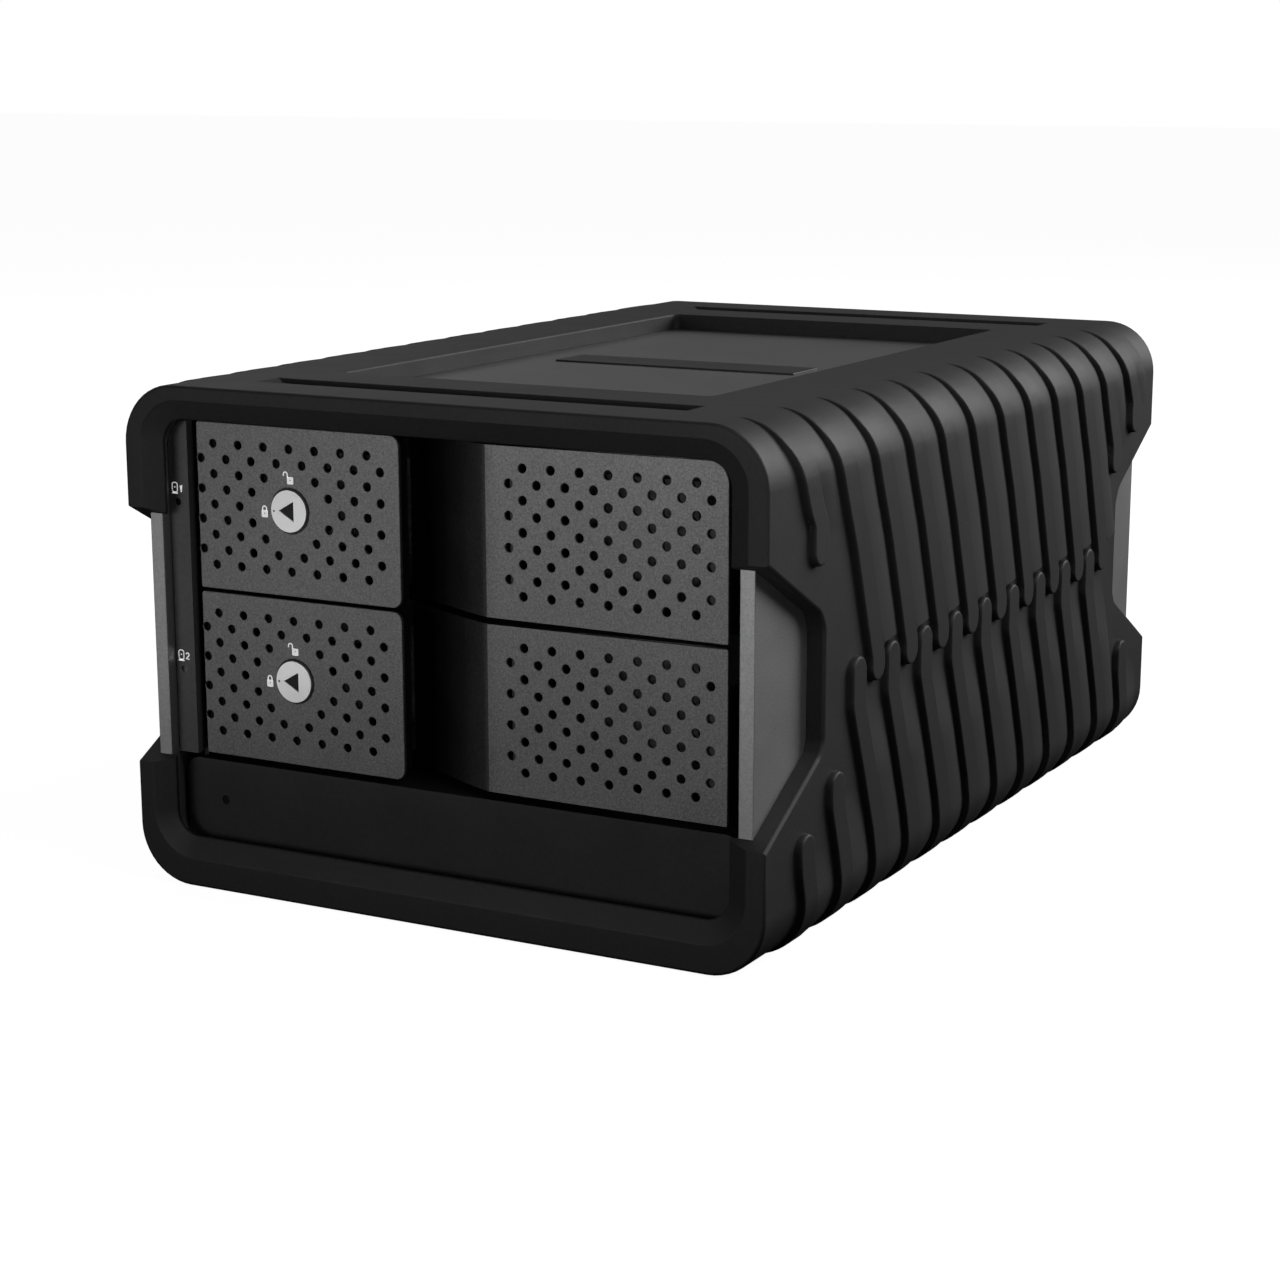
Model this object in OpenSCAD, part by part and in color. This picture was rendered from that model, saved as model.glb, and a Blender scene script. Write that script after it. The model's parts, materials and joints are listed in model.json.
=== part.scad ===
// Two-bay desktop storage enclosure: ribbed rubber sleeve over an aluminium tube, two
// pull-out disk trays with locking levers, and a rear panel with fan, switches and sockets.
// Millimetres. +X is right seen from the front, +Y runs to the back, +Z is up. The origin is
// the centre of the footprint, on the surface the sleeve rests on. The front faces -Y.

/* [Rubber sleeve] */
// width over the plain sides, without the ribs
body_w = 140.4; // [130:0.1:150]
// front to back length of the sleeve
body_d = 212.4; // [190:0.1:230]
// height of the sleeve
body_h = 101; // [95:0.1:110]
// outside corner radius of the sleeve
corner_r = 11.8; // [8:0.1:14]
// thickness of the rubber over the tube
rubber_t = 3.7; // [2:0.1:6]
// how far the sleeve stands in front of the tube's end
lip_out = 2.5; // [1:0.1:5]
// width of the opening inside the lip
lip_w = 124.2; // [110:0.1:128]
// underside of the lip opening above the base
lip_z0 = 10; // [6:0.1:14]
// top of the lip opening above the base
lip_z1 = 94.2; // [85:0.1:97]
// corner radius of the lip opening
lip_r = 5; // [3:0.1:8]
// width of the bevel round the lip opening
bevel_w = 4; // [1:0.1:6]
// depth of that bevel
bevel_d = 1.9; // [0.5:0.1:2.2]

/* [Ribs] */
// how far a rib stands out of the side
rib_h = 1.4; // [0.5:0.1:3]
// spacing of the ribs along the side
rib_pitch = 16.15; // [12:0.01:20]
// number of ribs in the upper row and in the lower row
rib_count = 12; // [6:1:14]
// width of a rib's flat top
rib_w = 6.6; // [4:0.1:9]
// height of the tips of the upper row
upper_tip_z = 47; // [40:0.1:60]
// height of the tips of the lower row
lower_tip_z = 53.6; // [45:0.1:65]
// distance from the front panels to the first upper rib
upper_start = 3.5; // [0:0.1:10]
// distance from the front panels to the first lower rib
lower_start = 8.7; // [0:0.1:16]

/* [Side notches and top] */
// height of the lower end of a side notch at the sleeve's face
notch_z0 = 24.7; // [20:0.1:35]
// height of the upper end of a side notch at the sleeve's face
notch_z1 = 76.4; // [65:0.1:85]
// depth of a side notch from the face
notch_d = 24.4; // [10:0.1:40]
// rise of each slanting notch edge
notch_rise = 12.7; // [5:0.1:20]
// width of the window in the top of the sleeve
window_w = 83.4; // [60:0.1:110]
// length of the window
window_d = 144.2; // [100:0.1:170]
// width of each cross slot in the top
slot_w = 95.4; // [60:0.1:110]
// front to back size of a cross slot
slot_d = 7.2; // [4:0.1:10]
// distance of a slot's outer edge from the sleeve's face
slot_in = 13; // [8:0.1:20]
// length of the sloping end of a slot
slot_ramp = 8.5; // [2:0.1:12]

/* [Tube and front] */
// wall thickness of the aluminium tube
tube_t = 3; // [2:0.1:4]
// outside corner radius of the tube
tube_r = 9; // [5:0.1:11]
// distance of the perforated panels behind the sleeve's face
panel_in = 5.9; // [3:0.1:10]
// thickness of the perforated panels
panel_t = 0.8; // [0.6:0.1:2]
// height of a tray front
tray_h = 33.1; // [30:0.1:36]
// height from one tray to the next
tray_pitch = 33.8; // [31:0.1:38]
// underside of the lower tray front
tray_z0 = 26.6; // [22:0.1:32]
// top of the front bezel
bezel_top = 25.3; // [20:0.1:30]
// left edge of the lever panel
lever_x0 = -57.1; // [-60:0.1:-50]
// right edge of the lever panel
lever_x1 = -9.9; // [-20:0.1:-5]
// left edge of the right-hand panel
front_x0 = 9.1; // [5:0.1:20]
// right edge of the right-hand panel
front_x1 = 59.6; // [50:0.1:61]
// diameter of a perforation
hole_d = 1.7; // [1:0.1:2.5]
// spacing of perforations along a row
hole_pitch = 6; // [4:0.1:8]
// left hole of the lever panel
lever_hole_x = -53.17; // [-55:0.01:-50]
// left hole of the right-hand panel
front_hole_x = 17.13; // [12:0.01:22]
// height of the hole centre row above the tray front's underside
hole_row_z = 16.9; // [14:0.1:20]

/* [Levers and locks] */
// how far the hinge line is inside the lever's left edge
hinge_x_in = 2.9; // [2:0.1:5]
// depth of the hinge line behind the panel
hinge_y_in = 4.4; // [3:0.1:6]
// radius of the hinge pin
pin_r = 1; // [0.6:0.05:1.5]
// radial clearance of the hinge pin in the lever
pin_gap = 0.05; // [0.02:0.01:0.1]
// radius of the lock cylinder
lock_r = 4.1; // [3:0.1:5]
// radial clearance of the lock cylinder
lock_gap = 0.06; // [0.02:0.01:0.1]
// length of the lock cylinder
lock_len = 12; // [8:0.5:16]

/* [Trays and disks] */
// depth of the tray frame behind the panels
tray_len = 164; // [150:1:175]
// left side of the tray frame
tray_x0 = -55; // [-57:0.1:-52]
// right side of the tray frame
tray_x1 = 57; // [54:0.1:60]
// width of the disk
disk_w = 101.6; // [101:0.1:102]
// length of the disk
disk_d = 147; // [145:0.5:148]
// height of the disk
disk_h = 26.1; // [19:0.1:26.1]
// distance of the disk behind the panels
disk_in = 22; // [20:0.5:30]
// height of a tray rail
rail_h = 4; // [3:0.1:6]
// running clearance of a tray rail
rail_gap = 0.3; // [0.2:0.05:0.6]

/* [Rear panel] */
// thickness of the rear panel
rear_t = 2; // [1:0.1:3]
// radius of the fan opening
fan_r = 28.5; // [20:0.5:35]
// sideways position of the fan
fan_x = -24; // [-35:0.5:0]
// height of the fan's centre
fan_z = 57; // [45:0.5:65]
// side of the square fan frame
fan_size = 60; // [40:1:70]
// depth of the fan frame
fan_depth = 15; // [10:1:25]
// sideways position of the switches
side_x = 38; // [20:0.5:48]
// height of the power rocker
rocker_z = 74; // [60:0.5:80]
// angle the rocker tips through
rocker_tilt = 9; // [5:0.5:15]
// height of the mode dial
dial_z = 50; // [40:0.5:60]
// height of the push button
button_z = 36; // [30:0.5:45]
// height of the row of sockets
port_z = 17; // [14:0.5:22]

/* [Hidden] */
$fn = 48;
eps = 0.02;
y_face = -body_d / 2;
y_tube = y_face + lip_out;
y_panel = y_face + panel_in;
tube_w = body_w - 2 * rubber_t;
tube_h = body_h - 2 * rubber_t;
tube_len = body_d - 2 * lip_out;
inner_w = tube_w - 2 * tube_t;
inner_h = tube_h - 2 * tube_t;
inner_r = tube_r - tube_t;
y_rear = -y_panel;
hinge_x = lever_x0 + hinge_x_in;
hinge_y = y_panel + hinge_y_in;
lock_x = lever_hole_x + 3 * hole_pitch;
zu = tray_z0 + tray_pitch;
zl = tray_z0;
disk_x = (tray_x0 + tray_x1) / 2;
cage_x0 = -60;
cage_x1 = 61.5;
board_z = 12;

// ---------- shared shapes ----------
module round_rect(w, h, r) {
    square([w - 2 * r, h], center = true);
    square([w, h - 2 * r], center = true);
    for (sx = [-1, 1], sz = [-1, 1])
        translate([sx * (w / 2 - r), sz * (h / 2 - r)]) circle(r = r);
}

// rounded bar along Y from y0 to y1, centred on height zc
module bar_y(w, h, r, y0, y1, zc)
    translate([0, y1, zc]) rotate([90, 0, 0]) linear_extrude(y1 - y0) round_rect(w, h, r);

module box(x0, x1, y0, y1, z0, z1)
    translate([x0, y0, z0]) cube([x1 - x0, y1 - y0, z1 - z0]);

// cylinder along +Y from y0 to y1
module rod_y(x, z, r, y0, y1)
    translate([x, y1, z]) rotate([90, 0, 0]) cylinder(r = r, h = y1 - y0);

module rod_z(x, y, r, z0, z1)
    translate([x, y, z0]) cylinder(r = r, h = z1 - z0);

// ---------- rubber sleeve ----------
// a rib's outline: [offset along Y, height] down its front wall, then back up its rear edge
function upper_path(tip, tail) = [[0, body_h + 1], [0, 96.5], [1.3, 93.4], [2.4, 90.6],
    [5.4, 83.6], [9.6, 74], [15.4, 57.8], [17.5, 51.5], [17.7, tip + tail]];
function lower_path(tip, tail) = [[0.2, -1], [0, 7.4], [-0.5, 11.9], [-1.8, 17],
    [-6.7, 29.9], [-10.6, 39.5], [-12.6, 46.4], [-12.5, tip - tail]];

module rib(front, tip, up) {
    n = len(front) - 1;
    e = front[n];
    s = up ? -1 : 1;
    nose = [[e[0] + 0.4, tip - s * 1.6], [e[0] + 1.6, tip - s * 0.3], [e[0] + 2.9, tip],
        [e[0] + 4.6, tip - s * 0.8], [e[0] + rib_w - 0.5, tip - s * 3]];
    back = [for (i = [n:-1:0]) [front[i][0] + rib_w, front[i][1]]];
    polygon(concat(front, nose, back));
}

function cut_at(path, z, up) = up ? [for (p = path) if (p[1] > z) p]
    : [for (p = path) if (p[1] < z) p];

// one short rib: the long rib's path as far as zc, then straight to the tip
module short_rib(path, zc, dy, tip, up) {
    c = cut_at(path, zc, up);
    rib(concat(c, [[dy, zc], [dy, tip + (up ? 3 : -3)]]), tip, up);
}

module ribs_flat() {
    up = upper_path(upper_tip_z, 3);
    lo = lower_path(lower_tip_z, 3);
    translate([y_panel + upper_start, 0]) {
        short_rib(up, 81, 7.3, 73.4, true);
        for (i = [1:rib_count - 3]) translate([i * rib_pitch, 0]) rib(up, upper_tip_z, true);
        translate([(rib_count - 2) * rib_pitch, 0]) short_rib(up, 75, 9.2, 68.6, true);
        translate([(rib_count - 1) * rib_pitch, 0]) short_rib(up, 84, 6, 76.6, true);
    }
    translate([y_panel + lower_start, 0]) {
        short_rib(lo, 20, -2.2, 24.6, false);
        translate([rib_pitch, 0]) short_rib(lo, 27, -5.2, 33.4, false);
        for (i = [2:rib_count - 2]) translate([i * rib_pitch, 0]) rib(lo, lower_tip_z, false);
        translate([(rib_count - 1) * rib_pitch, 0]) short_rib(lo, 20, -2.6, 27.4, false);
    }
}

module ribs() {
    intersection() {
        bar_y(body_w + 2 * rib_h, body_h - 0.2, corner_r + rib_h - 0.2, y_face + 1,
            -y_face - 1, body_h / 2);
        for (x0 = [body_w / 2 - corner_r, -body_w / 2 - 3])
            translate([x0, 0, 0]) rotate([90, 0, 90]) linear_extrude(corner_r + 3) ribs_flat();
    }
}

module notch_flat() {
    polygon([[-10, notch_z0 - 0.552 * 10], [-10, notch_z1 + 0.552 * 10],
        [notch_d - 1.4, notch_z1 - notch_rise], [notch_d, notch_z1 - notch_rise - 2.4],
        [notch_d, notch_z0 + notch_rise + 2.4], [notch_d - 1.4, notch_z0 + notch_rise]]);
}

module notch(front) {
    mirror([0, front ? 0 : 1, 0]) translate([-body_w, y_face, 0])
        rotate([90, 0, 90]) linear_extrude(2 * body_w) notch_flat();
}

module top_slot() {
    translate([0, y_face + slot_in + slot_d, 0]) rotate([90, 0, 0]) linear_extrude(slot_d)
        polygon([[-slot_w / 2, body_h + eps], [slot_w / 2, body_h + eps],
            [slot_w / 2 - slot_ramp, body_h - rubber_t - eps],
            [-slot_w / 2 + slot_ramp, body_h - rubber_t - eps]]);
}

// bevelled mouth: a stack of two thin rounded plates joined by one hull
module mouth() {
    zc = (lip_z0 + lip_z1) / 2;
    bar_y(lip_w, lip_z1 - lip_z0, lip_r, y_face - 1, y_tube + 1, zc);
    hull() {
        bar_y(lip_w, lip_z1 - lip_z0, lip_r, y_face + bevel_d - 0.01, y_face + bevel_d, zc);
        bar_y(lip_w + 2 * bevel_w, lip_z1 - lip_z0 + 2 * bevel_w, lip_r + bevel_w,
            y_face - 0.02, y_face - 0.01, zc);
    }
}

module bumper() {
    color("#262626") difference() {
        union() {
            bar_y(body_w, body_h, corner_r, y_face, -y_face, body_h / 2);
            ribs();
        }
        bar_y(tube_w + 0.1, tube_h + 0.1, tube_r + 0.05, y_tube, -y_tube, body_h / 2);
        mouth();
        mirror([0, 1, 0]) mouth();
        notch(true);
        notch(false);
        box(-window_w / 2, window_w / 2, -window_d / 2, window_d / 2, body_h - 8, body_h + 1);
        top_slot();
        mirror([0, 1, 0]) top_slot();
    }
}

// ---------- fixed body ----------
module tube() {
    color("#8c8c8e") difference() {
        bar_y(tube_w, tube_h, tube_r, y_tube, -y_tube, body_h / 2);
        bar_y(inner_w, inner_h, inner_r, y_tube - 1, -y_tube + 1, body_h / 2);
    }
}

module top_badge() {
    z0 = body_h - rubber_t;
    color("#1c1c1e") box(-31, 27, -5, 7, z0, z0 + 0.4);
}

module inner_profile(inset)
    translate([0, body_h / 2]) round_rect(inner_w - 2 * inset, inner_h - 2 * inset,
        inner_r - inset);

module plate_y(y0, y1)
    translate([0, y1, 0]) rotate([90, 0, 0]) linear_extrude(y1 - y0) children();

module front_bezel() {
    bx = 62.3;
    color("#252526") difference() {
        union() {
            plate_y(y_panel, y_panel + 2.4) intersection() {
                inner_profile(0.3);
                union() {
                    translate([-bx + 3, 5]) square([2 * bx - 6, bezel_top - 5]);
                    translate([-bx, 5]) square([2 * bx, bezel_top - 8]);
                    for (s = [-1, 1]) translate([s * (bx - 3), bezel_top - 3]) circle(r = 3);
                }
            }
            box(-57, 60, y_panel + 2.3, y_panel + 17, bezel_top - 1.6, bezel_top);
            for (x = [-48, 0, 46]) box(x - 1, x + 1, y_panel + 2.3, y_panel + 14, 10,
                bezel_top - 1.5);
        }
        rod_y(-53, 17.2, 0.9, y_panel - 1, y_panel + 4);
    }
}

module status_strip() {
    color("#4c4c4e") difference() {
        plate_y(y_panel - 1, y_panel + 1) intersection() {
            inner_profile(0.15);
            translate([-inner_w / 2, tray_z0 - 0.2])
                square([inner_w / 2 - 58.7, 2 * tray_pitch - 0.5]);
        }
        for (z = [zl, zu]) rod_y(-61.4, z + hole_row_z, 0.75, y_panel - 2, y_panel + 2);
    }
}

module status_leds() {
    color("#9fb4c8") {
        for (z = [zl, zu]) rod_y(-61.4, z + hole_row_z, 0.7, y_panel - 0.8, y_panel + 2.2);
        rod_y(-53, 17.2, 0.85, y_panel + 0.3, y_panel + 4);
    }
}

// one side wall of the cage with a pair of rails for each tray, inner face at x, facing dir
module cage_side(x, dir) {
    y0 = y_panel + 4;
    y1 = y_panel + 178;
    xa = min(x, x - dir);
    reach = dir > 0 ? tray_x0 - 0.4 : tray_x1 + 0.4;
    color("#5a5b5e") difference() {
        union() {
            box(xa, xa + 1, y0, y1, bezel_top - 1, 90);
            box(xa, xa + 1, y_panel + 17.4, y1, 10, bezel_top);
            for (z = [zl, zu]) for (s = [-1, 1]) {
                zc = z + 12 + s * (rail_h / 2 + rail_gap + 1);
                box(min(reach, x), max(reach, x), y0 + 14, y1, zc - 1, zc + 1);
            }
        }
        for (y = [-60, 60]) translate([xa - 1, y, 56]) rotate([0, 90, 0])
            cylinder(r = 1.6, h = 3);
    }
}

module cage_left() cage_side(cage_x0, 1);

module cage_right() cage_side(cage_x1, -1);

module cage_floor() {
    y0 = y_panel + 17.4;
    color("#5a5b5e") difference() {
        box(cage_x0, cage_x1, y0, y_panel + 178, bezel_top - 1, bezel_top);
        for (y = [y0 + 14:30:y0 + 140]) box(-40, 42, y, y + 20, 20, 30);
    }
}

module cage_screws() {
    color("#b8b8ba") for (y = [-60, 60]) {
        translate([cage_x0 + 0.05, y, 56]) rotate([0, 90, 0]) cylinder(r = 2.6, h = 1.2);
        translate([-inner_w / 2, y, 56]) rotate([0, 90, 0])
            cylinder(r = 1.5, h = inner_w / 2 + cage_x0 + 0.1);
        translate([cage_x1 - 1.25, y, 56]) rotate([0, 90, 0]) cylinder(r = 2.6, h = 1.2);
        translate([cage_x1 - 0.1, y, 56]) rotate([0, 90, 0])
            cylinder(r = 1.5, h = inner_w / 2 - cage_x1 + 0.1);
    }
}

module backplane() {
    y0 = y_panel + 178.2;
    color("#1f5a3a") difference() {
        box(-55, 57, y0, y0 + 1.6, 14, 92);
        for (z = [zl, zu]) box(-30, 34, y0 - 1, y0 + 3, z + 22, z + 29);
    }
}

module disk_sockets() {
    y1 = y_panel + 178.2;
    color("#1b1b1d") for (z = [zl, zu]) difference() {
        box(disk_x - 34, disk_x + 4, y1 - 7, y1, z + 4.4, z + 10.4);
        box(disk_x - 32, disk_x + 2, y1 - 8, y1 - 2, z + 6, z + 8.4);
    }
}

module main_board() {
    color("#1f5a3a") difference() {
        box(-54, 54, -70, y_rear - rear_t - 0.4, board_z, board_z + 1.6);
        for (x = [-49, 49], y = [-62, 60]) translate([x, y, board_z - 1])
            cylinder(r = 1.6, h = 4);
    }
}

module board_parts() {
    zt = board_z + 1.6;
    color("#17171a") {
        box(-40, -26, 20, 34, zt, zt + 1.4);
        box(-6, 4, 36, 46, zt, zt + 1.2);
        box(24, 44, -30, -22, zt, zt + 2);
        box(-46, -38, -50, -40, zt, zt + 1.4);
        for (x = [30, 40, 50]) translate([x, 40, zt]) cylinder(r = 3, h = 7);
        for (y = [-10, 4]) translate([-46, y, zt]) cylinder(r = 2.5, h = 6);
        box(-20, 20, y_panel + 178.2 - 12, y_panel + 178.2, zt, zt + 5);
    }
}

module heat_sink() {
    zt = board_z + 1.6;
    color("#8f9092") {
        box(-20, 16, -24, 12, zt, zt + 2);
        for (i = [0:6]) box(-20 + i * 5.75, -18.5 + i * 5.75, -24, 12, zt + 1.9, zt + 8);
    }
}

// ---------- rear ----------
module ring_cut(r0, r1) {
    difference() {
        rod_y(fan_x, fan_z, r1, y_rear - rear_t - 1, y_rear + 1);
        rod_y(fan_x, fan_z, r0, y_rear - rear_t - 2, y_rear + 2);
        for (a = [45, 135]) translate([fan_x, y_rear, fan_z]) rotate([0, a, 0])
            cube([3, 10, 2 * fan_size], center = true);
    }
}

module rear_panel() {
    y0 = y_rear - rear_t;
    color("#2b2b2d") difference() {
        plate_y(y0, y_rear) inner_profile(0.3);
        for (r = [8, 13, 18, 23]) ring_cut(r, r + 3.6);
        for (sx = [-1, 1], sz = [-1, 1]) {
            rod_y(fan_x + sx * 25, fan_z + sz * 25, 1.7, y0 - 1, y_rear + 1);
            rod_y(sx * 57, body_h / 2 + sz * 38, 1.7, y0 - 1, y_rear + 1);
        }
        box(side_x - 6.2, side_x + 6.2, y0 - 1, y_rear + 1, rocker_z - 10.2, rocker_z + 10.2);
        rod_y(side_x, dial_z, 5.4, y0 - 1, y_rear + 1);
        rod_y(side_x, button_z, 2.7, y0 - 1, y_rear + 1);
        rod_y(44, port_z + 1, 4.2, y0 - 1, y_rear + 1);
        for (x = [8, 24]) box(x - 4.9, x + 4.9, y0 - 1, y_rear + 1, port_z - 1.9, port_z + 1.9);
        box(-52, -45, y0 - 1, y_rear + 1, port_z - 1.5, port_z + 1.5);
    }
}

module rear_screws() {
    color("#b8b8ba") for (sx = [-1, 1], sz = [-1, 1]) {
        difference() {
            rod_y(sx * 57, body_h / 2 + sz * 38, 2.9, y_rear + 0.02, y_rear + 1.6);
            rod_y(sx * 57, body_h / 2 + sz * 38, 1.1, y_rear + 0.8, y_rear + 3);
        }
        rod_y(sx * 57, body_h / 2 + sz * 38, 1.5, y_rear - 8, y_rear + 0.1);
    }
}

module fan_frame() {
    y1 = y_rear - rear_t - 0.1;
    y0 = y1 - fan_depth;
    c = fan_size / 2;
    color("#1a1a1c") {
        difference() {
            box(fan_x - c, fan_x + c, y0, y1, fan_z - c, fan_z + c);
            rod_y(fan_x, fan_z, fan_r, y0 - 1, y1 + 1);
            for (sx = [-1, 1], sz = [-1, 1])
                rod_y(fan_x + sx * 25, fan_z + sz * 25, 1.7, y0 - 1, y1 + 1);
        }
        difference() {
            union() {
                rod_y(fan_x, fan_z, 9.5, y1 - 3, y1);
                rod_y(fan_x, fan_z, 1.4, y0 + 3, y1 - 2);
                for (a = [0, 120, 240]) translate([fan_x, y1 - 1.5, fan_z])
                    rotate([0, a, 0]) translate([0, 0, 18]) cube([3, 3, 22], center = true);
            }
        }
    }
}

module fan_screws() {
    color("#b8b8ba") for (sx = [-1, 1], sz = [-1, 1]) {
        difference() {
            rod_y(fan_x + sx * 25, fan_z + sz * 25, 2.9, y_rear + 0.02, y_rear + 1.6);
            rod_y(fan_x + sx * 25, fan_z + sz * 25, 1.1, y_rear + 0.8, y_rear + 3);
        }
        rod_y(fan_x + sx * 25, fan_z + sz * 25, 1.5, y_rear - 14, y_rear + 0.1);
    }
}

module fan_rotor() {
    y0 = y_rear - rear_t - 0.1 - fan_depth + 1;
    y1 = y0 + 10;
    color("#202022") difference() {
        union() {
            rod_y(fan_x, fan_z, 10, y0, y1);
            intersection() {
                difference() {
                    rod_y(fan_x, fan_z, fan_r - 1, y0, y1);
                    rod_y(fan_x, fan_z, 9, y0 - 1, y1 + 1);
                }
                for (a = [0:360 / 7:359]) translate([fan_x, (y0 + y1) / 2, fan_z])
                    rotate([0, a, 0]) translate([0, 0, 18]) rotate([0, 0, 50])
                        cube([13, 1.2, 26], center = true);
            }
        }
        rod_y(fan_x, fan_z, 1.46, y0 + 1.5, y1 + 1);
    }
}

module rocker_housing() {
    y0 = y_rear - 12;
    color("#141416") difference() {
        union() {
            box(side_x - 7.5, side_x + 7.5, y_rear + 0.02, y_rear + 1.2, rocker_z - 11.5,
                rocker_z + 11.5);
            box(side_x - 6, side_x + 6, y0, y_rear + 0.1, rocker_z - 10, rocker_z + 10);
        }
        box(side_x - 4.9, side_x + 4.9, y0 + 1.5, y_rear + 2, rocker_z - 9, rocker_z + 9);
        translate([side_x - 7, y_rear - 2, rocker_z]) rotate([0, 90, 0])
            cylinder(r = pin_r + pin_gap, h = 14);
    }
}

module power_rocker() {
    py = y_rear - 2;
    color("#2a2a2c") translate([side_x, py, rocker_z]) rotate([-rocker_tilt, 0, 0]) {
        translate([-4.6, 0, 0]) rotate([90, 0, 90]) linear_extrude(9.2)
            polygon([[-4, -6.4], [2.6, -8.3], [1.9, 0], [2.6, 8.3], [-4, 6.4]]);
        translate([-5.8, 0, 0]) rotate([0, 90, 0]) cylinder(r = pin_r, h = 11.6);
    }
}

module mode_dial() {
    color("#2c2c2e") difference() {
        union() {
            rod_y(side_x, dial_z, 5, y_rear - 5, y_rear + 1);
            rod_y(side_x, dial_z, 3, y_rear - 9, y_rear - 4.9);
        }
        box(side_x - 0.6, side_x + 0.6, y_rear + 0.2, y_rear + 2, dial_z - 3.6, dial_z + 3.6);
        box(side_x - 1.4, side_x + 1.4, y_rear + 0.2, y_rear + 2, dial_z + 2, dial_z + 3.6);
    }
}

module set_button() {
    color("#2c2c2e") {
        rod_y(side_x, button_z, 2.4, y_rear - 4, y_rear + 1);
        rod_y(side_x, button_z, 3.4, y_rear - 5, y_rear - 3.5);
    }
}

module usb_c(x) {
    z = port_z;
    y0 = y_rear - 9;
    y1 = y_rear - 0.2;
    difference() {
        union() {
            box(x - 3, x + 3, y0, y1, z - 1.6, z + 1.6);
            for (s = [-1, 1]) rod_y(x + s * 3, z, 1.6, y0, y1);
        }
        box(x - 3, x + 3, y0 + 1, y1 + 1, z - 1.3, z + 1.3);
        for (s = [-1, 1]) rod_y(x + s * 3, z, 1.3, y0 + 1, y1 + 1);
    }
    box(x - 3.3, x + 3.3, y0 + 0.5, y1 - 1.2, z - 0.35, z + 0.35);
    box(x - 3, x + 3, y0, y1 - 3, board_z + 1.6, z - 1.5);
}

module data_ports() {
    color("#b4b4b6") for (x = [8, 24]) usb_c(x);
}

module power_jack() {
    z = port_z + 1;
    color("#161618") {
        difference() {
            union() {
                rod_y(44, z, 4, y_rear - 12, y_rear - 0.3);
                box(39.5, 48.5, y_rear - 12, y_rear - 2.4, board_z + 1.6, z + 4);
            }
            rod_y(44, z, 2.9, y_rear - 10, y_rear + 1);
        }
        rod_y(44, z, 1, y_rear - 10.5, y_rear - 1.2);
    }
}

// ---------- trays ----------
// perforations: seven holes in even rows, eight in odd rows; skip leaves room for the lock
module perforations(x0, zc, skip) {
    for (j = [0:8]) for (i = [-(j % 2):2:13 - (1 - j % 2)])
        if (!(skip && abs(i - 6) + abs(j - 4) <= 2))
            rod_y(x0 + i * hole_pitch / 2, zc + (4 - j) * hole_pitch / 2, hole_d / 2,
                y_panel - 1, y_panel + panel_t + 0.6);
}

// the right-hand panel with its sloping finger flank, corner radius r at the top right
module tray_front(z, r) {
    t = panel_t;
    flank = [[front_x0, 0], [3, 2.6], [-1.8, 5.3], [-6.3, 7.7], [-11.2, 9.9], [-14.7, 11.2]];
    n = len(flank) - 1;
    color("#7d7d7f") difference() {
        translate([0, y_panel, z]) linear_extrude(tray_h) polygon(concat([[front_x1, 0]], flank,
            [for (i = [n:-1:1]) flank[i] + t * [0.46, 0.92]],
            [[front_x0 + 0.25 * t, t], [front_x1, t]]));
        perforations(front_hole_x, z + hole_row_z, false);
        difference() {
            box(front_x1 - r, front_x1 + 1, y_panel - 1, y_panel + t + 1, z + tray_h - r,
                z + tray_h + 1);
            rod_y(front_x1 - r, z + tray_h - r, r, y_panel - 2, y_panel + t + 2);
        }
    }
}

module rounded_panel(x0, x1, z0, z1, r, y0, y1)
    plate_y(y0, y1) {
        translate([x0, z0]) square([x1 - x0 - r, z1 - z0]);
        translate([x0, z0 + r]) square([x1 - x0, z1 - z0 - 2 * r]);
        for (z = [z0 + r, z1 - r]) translate([x1 - r, z]) circle(r = r);
    }

module lever(z) {
    color("#7d7d7f") difference() {
        rounded_panel(lever_x0, lever_x1, z, z + tray_h, 2, y_panel, y_panel + panel_t);
        perforations(lever_hole_x, z + hole_row_z, true);
        rod_y(lock_x, z + hole_row_z, lock_r + 0.4, y_panel - 1, y_panel + panel_t + 1);
    }
}

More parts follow.
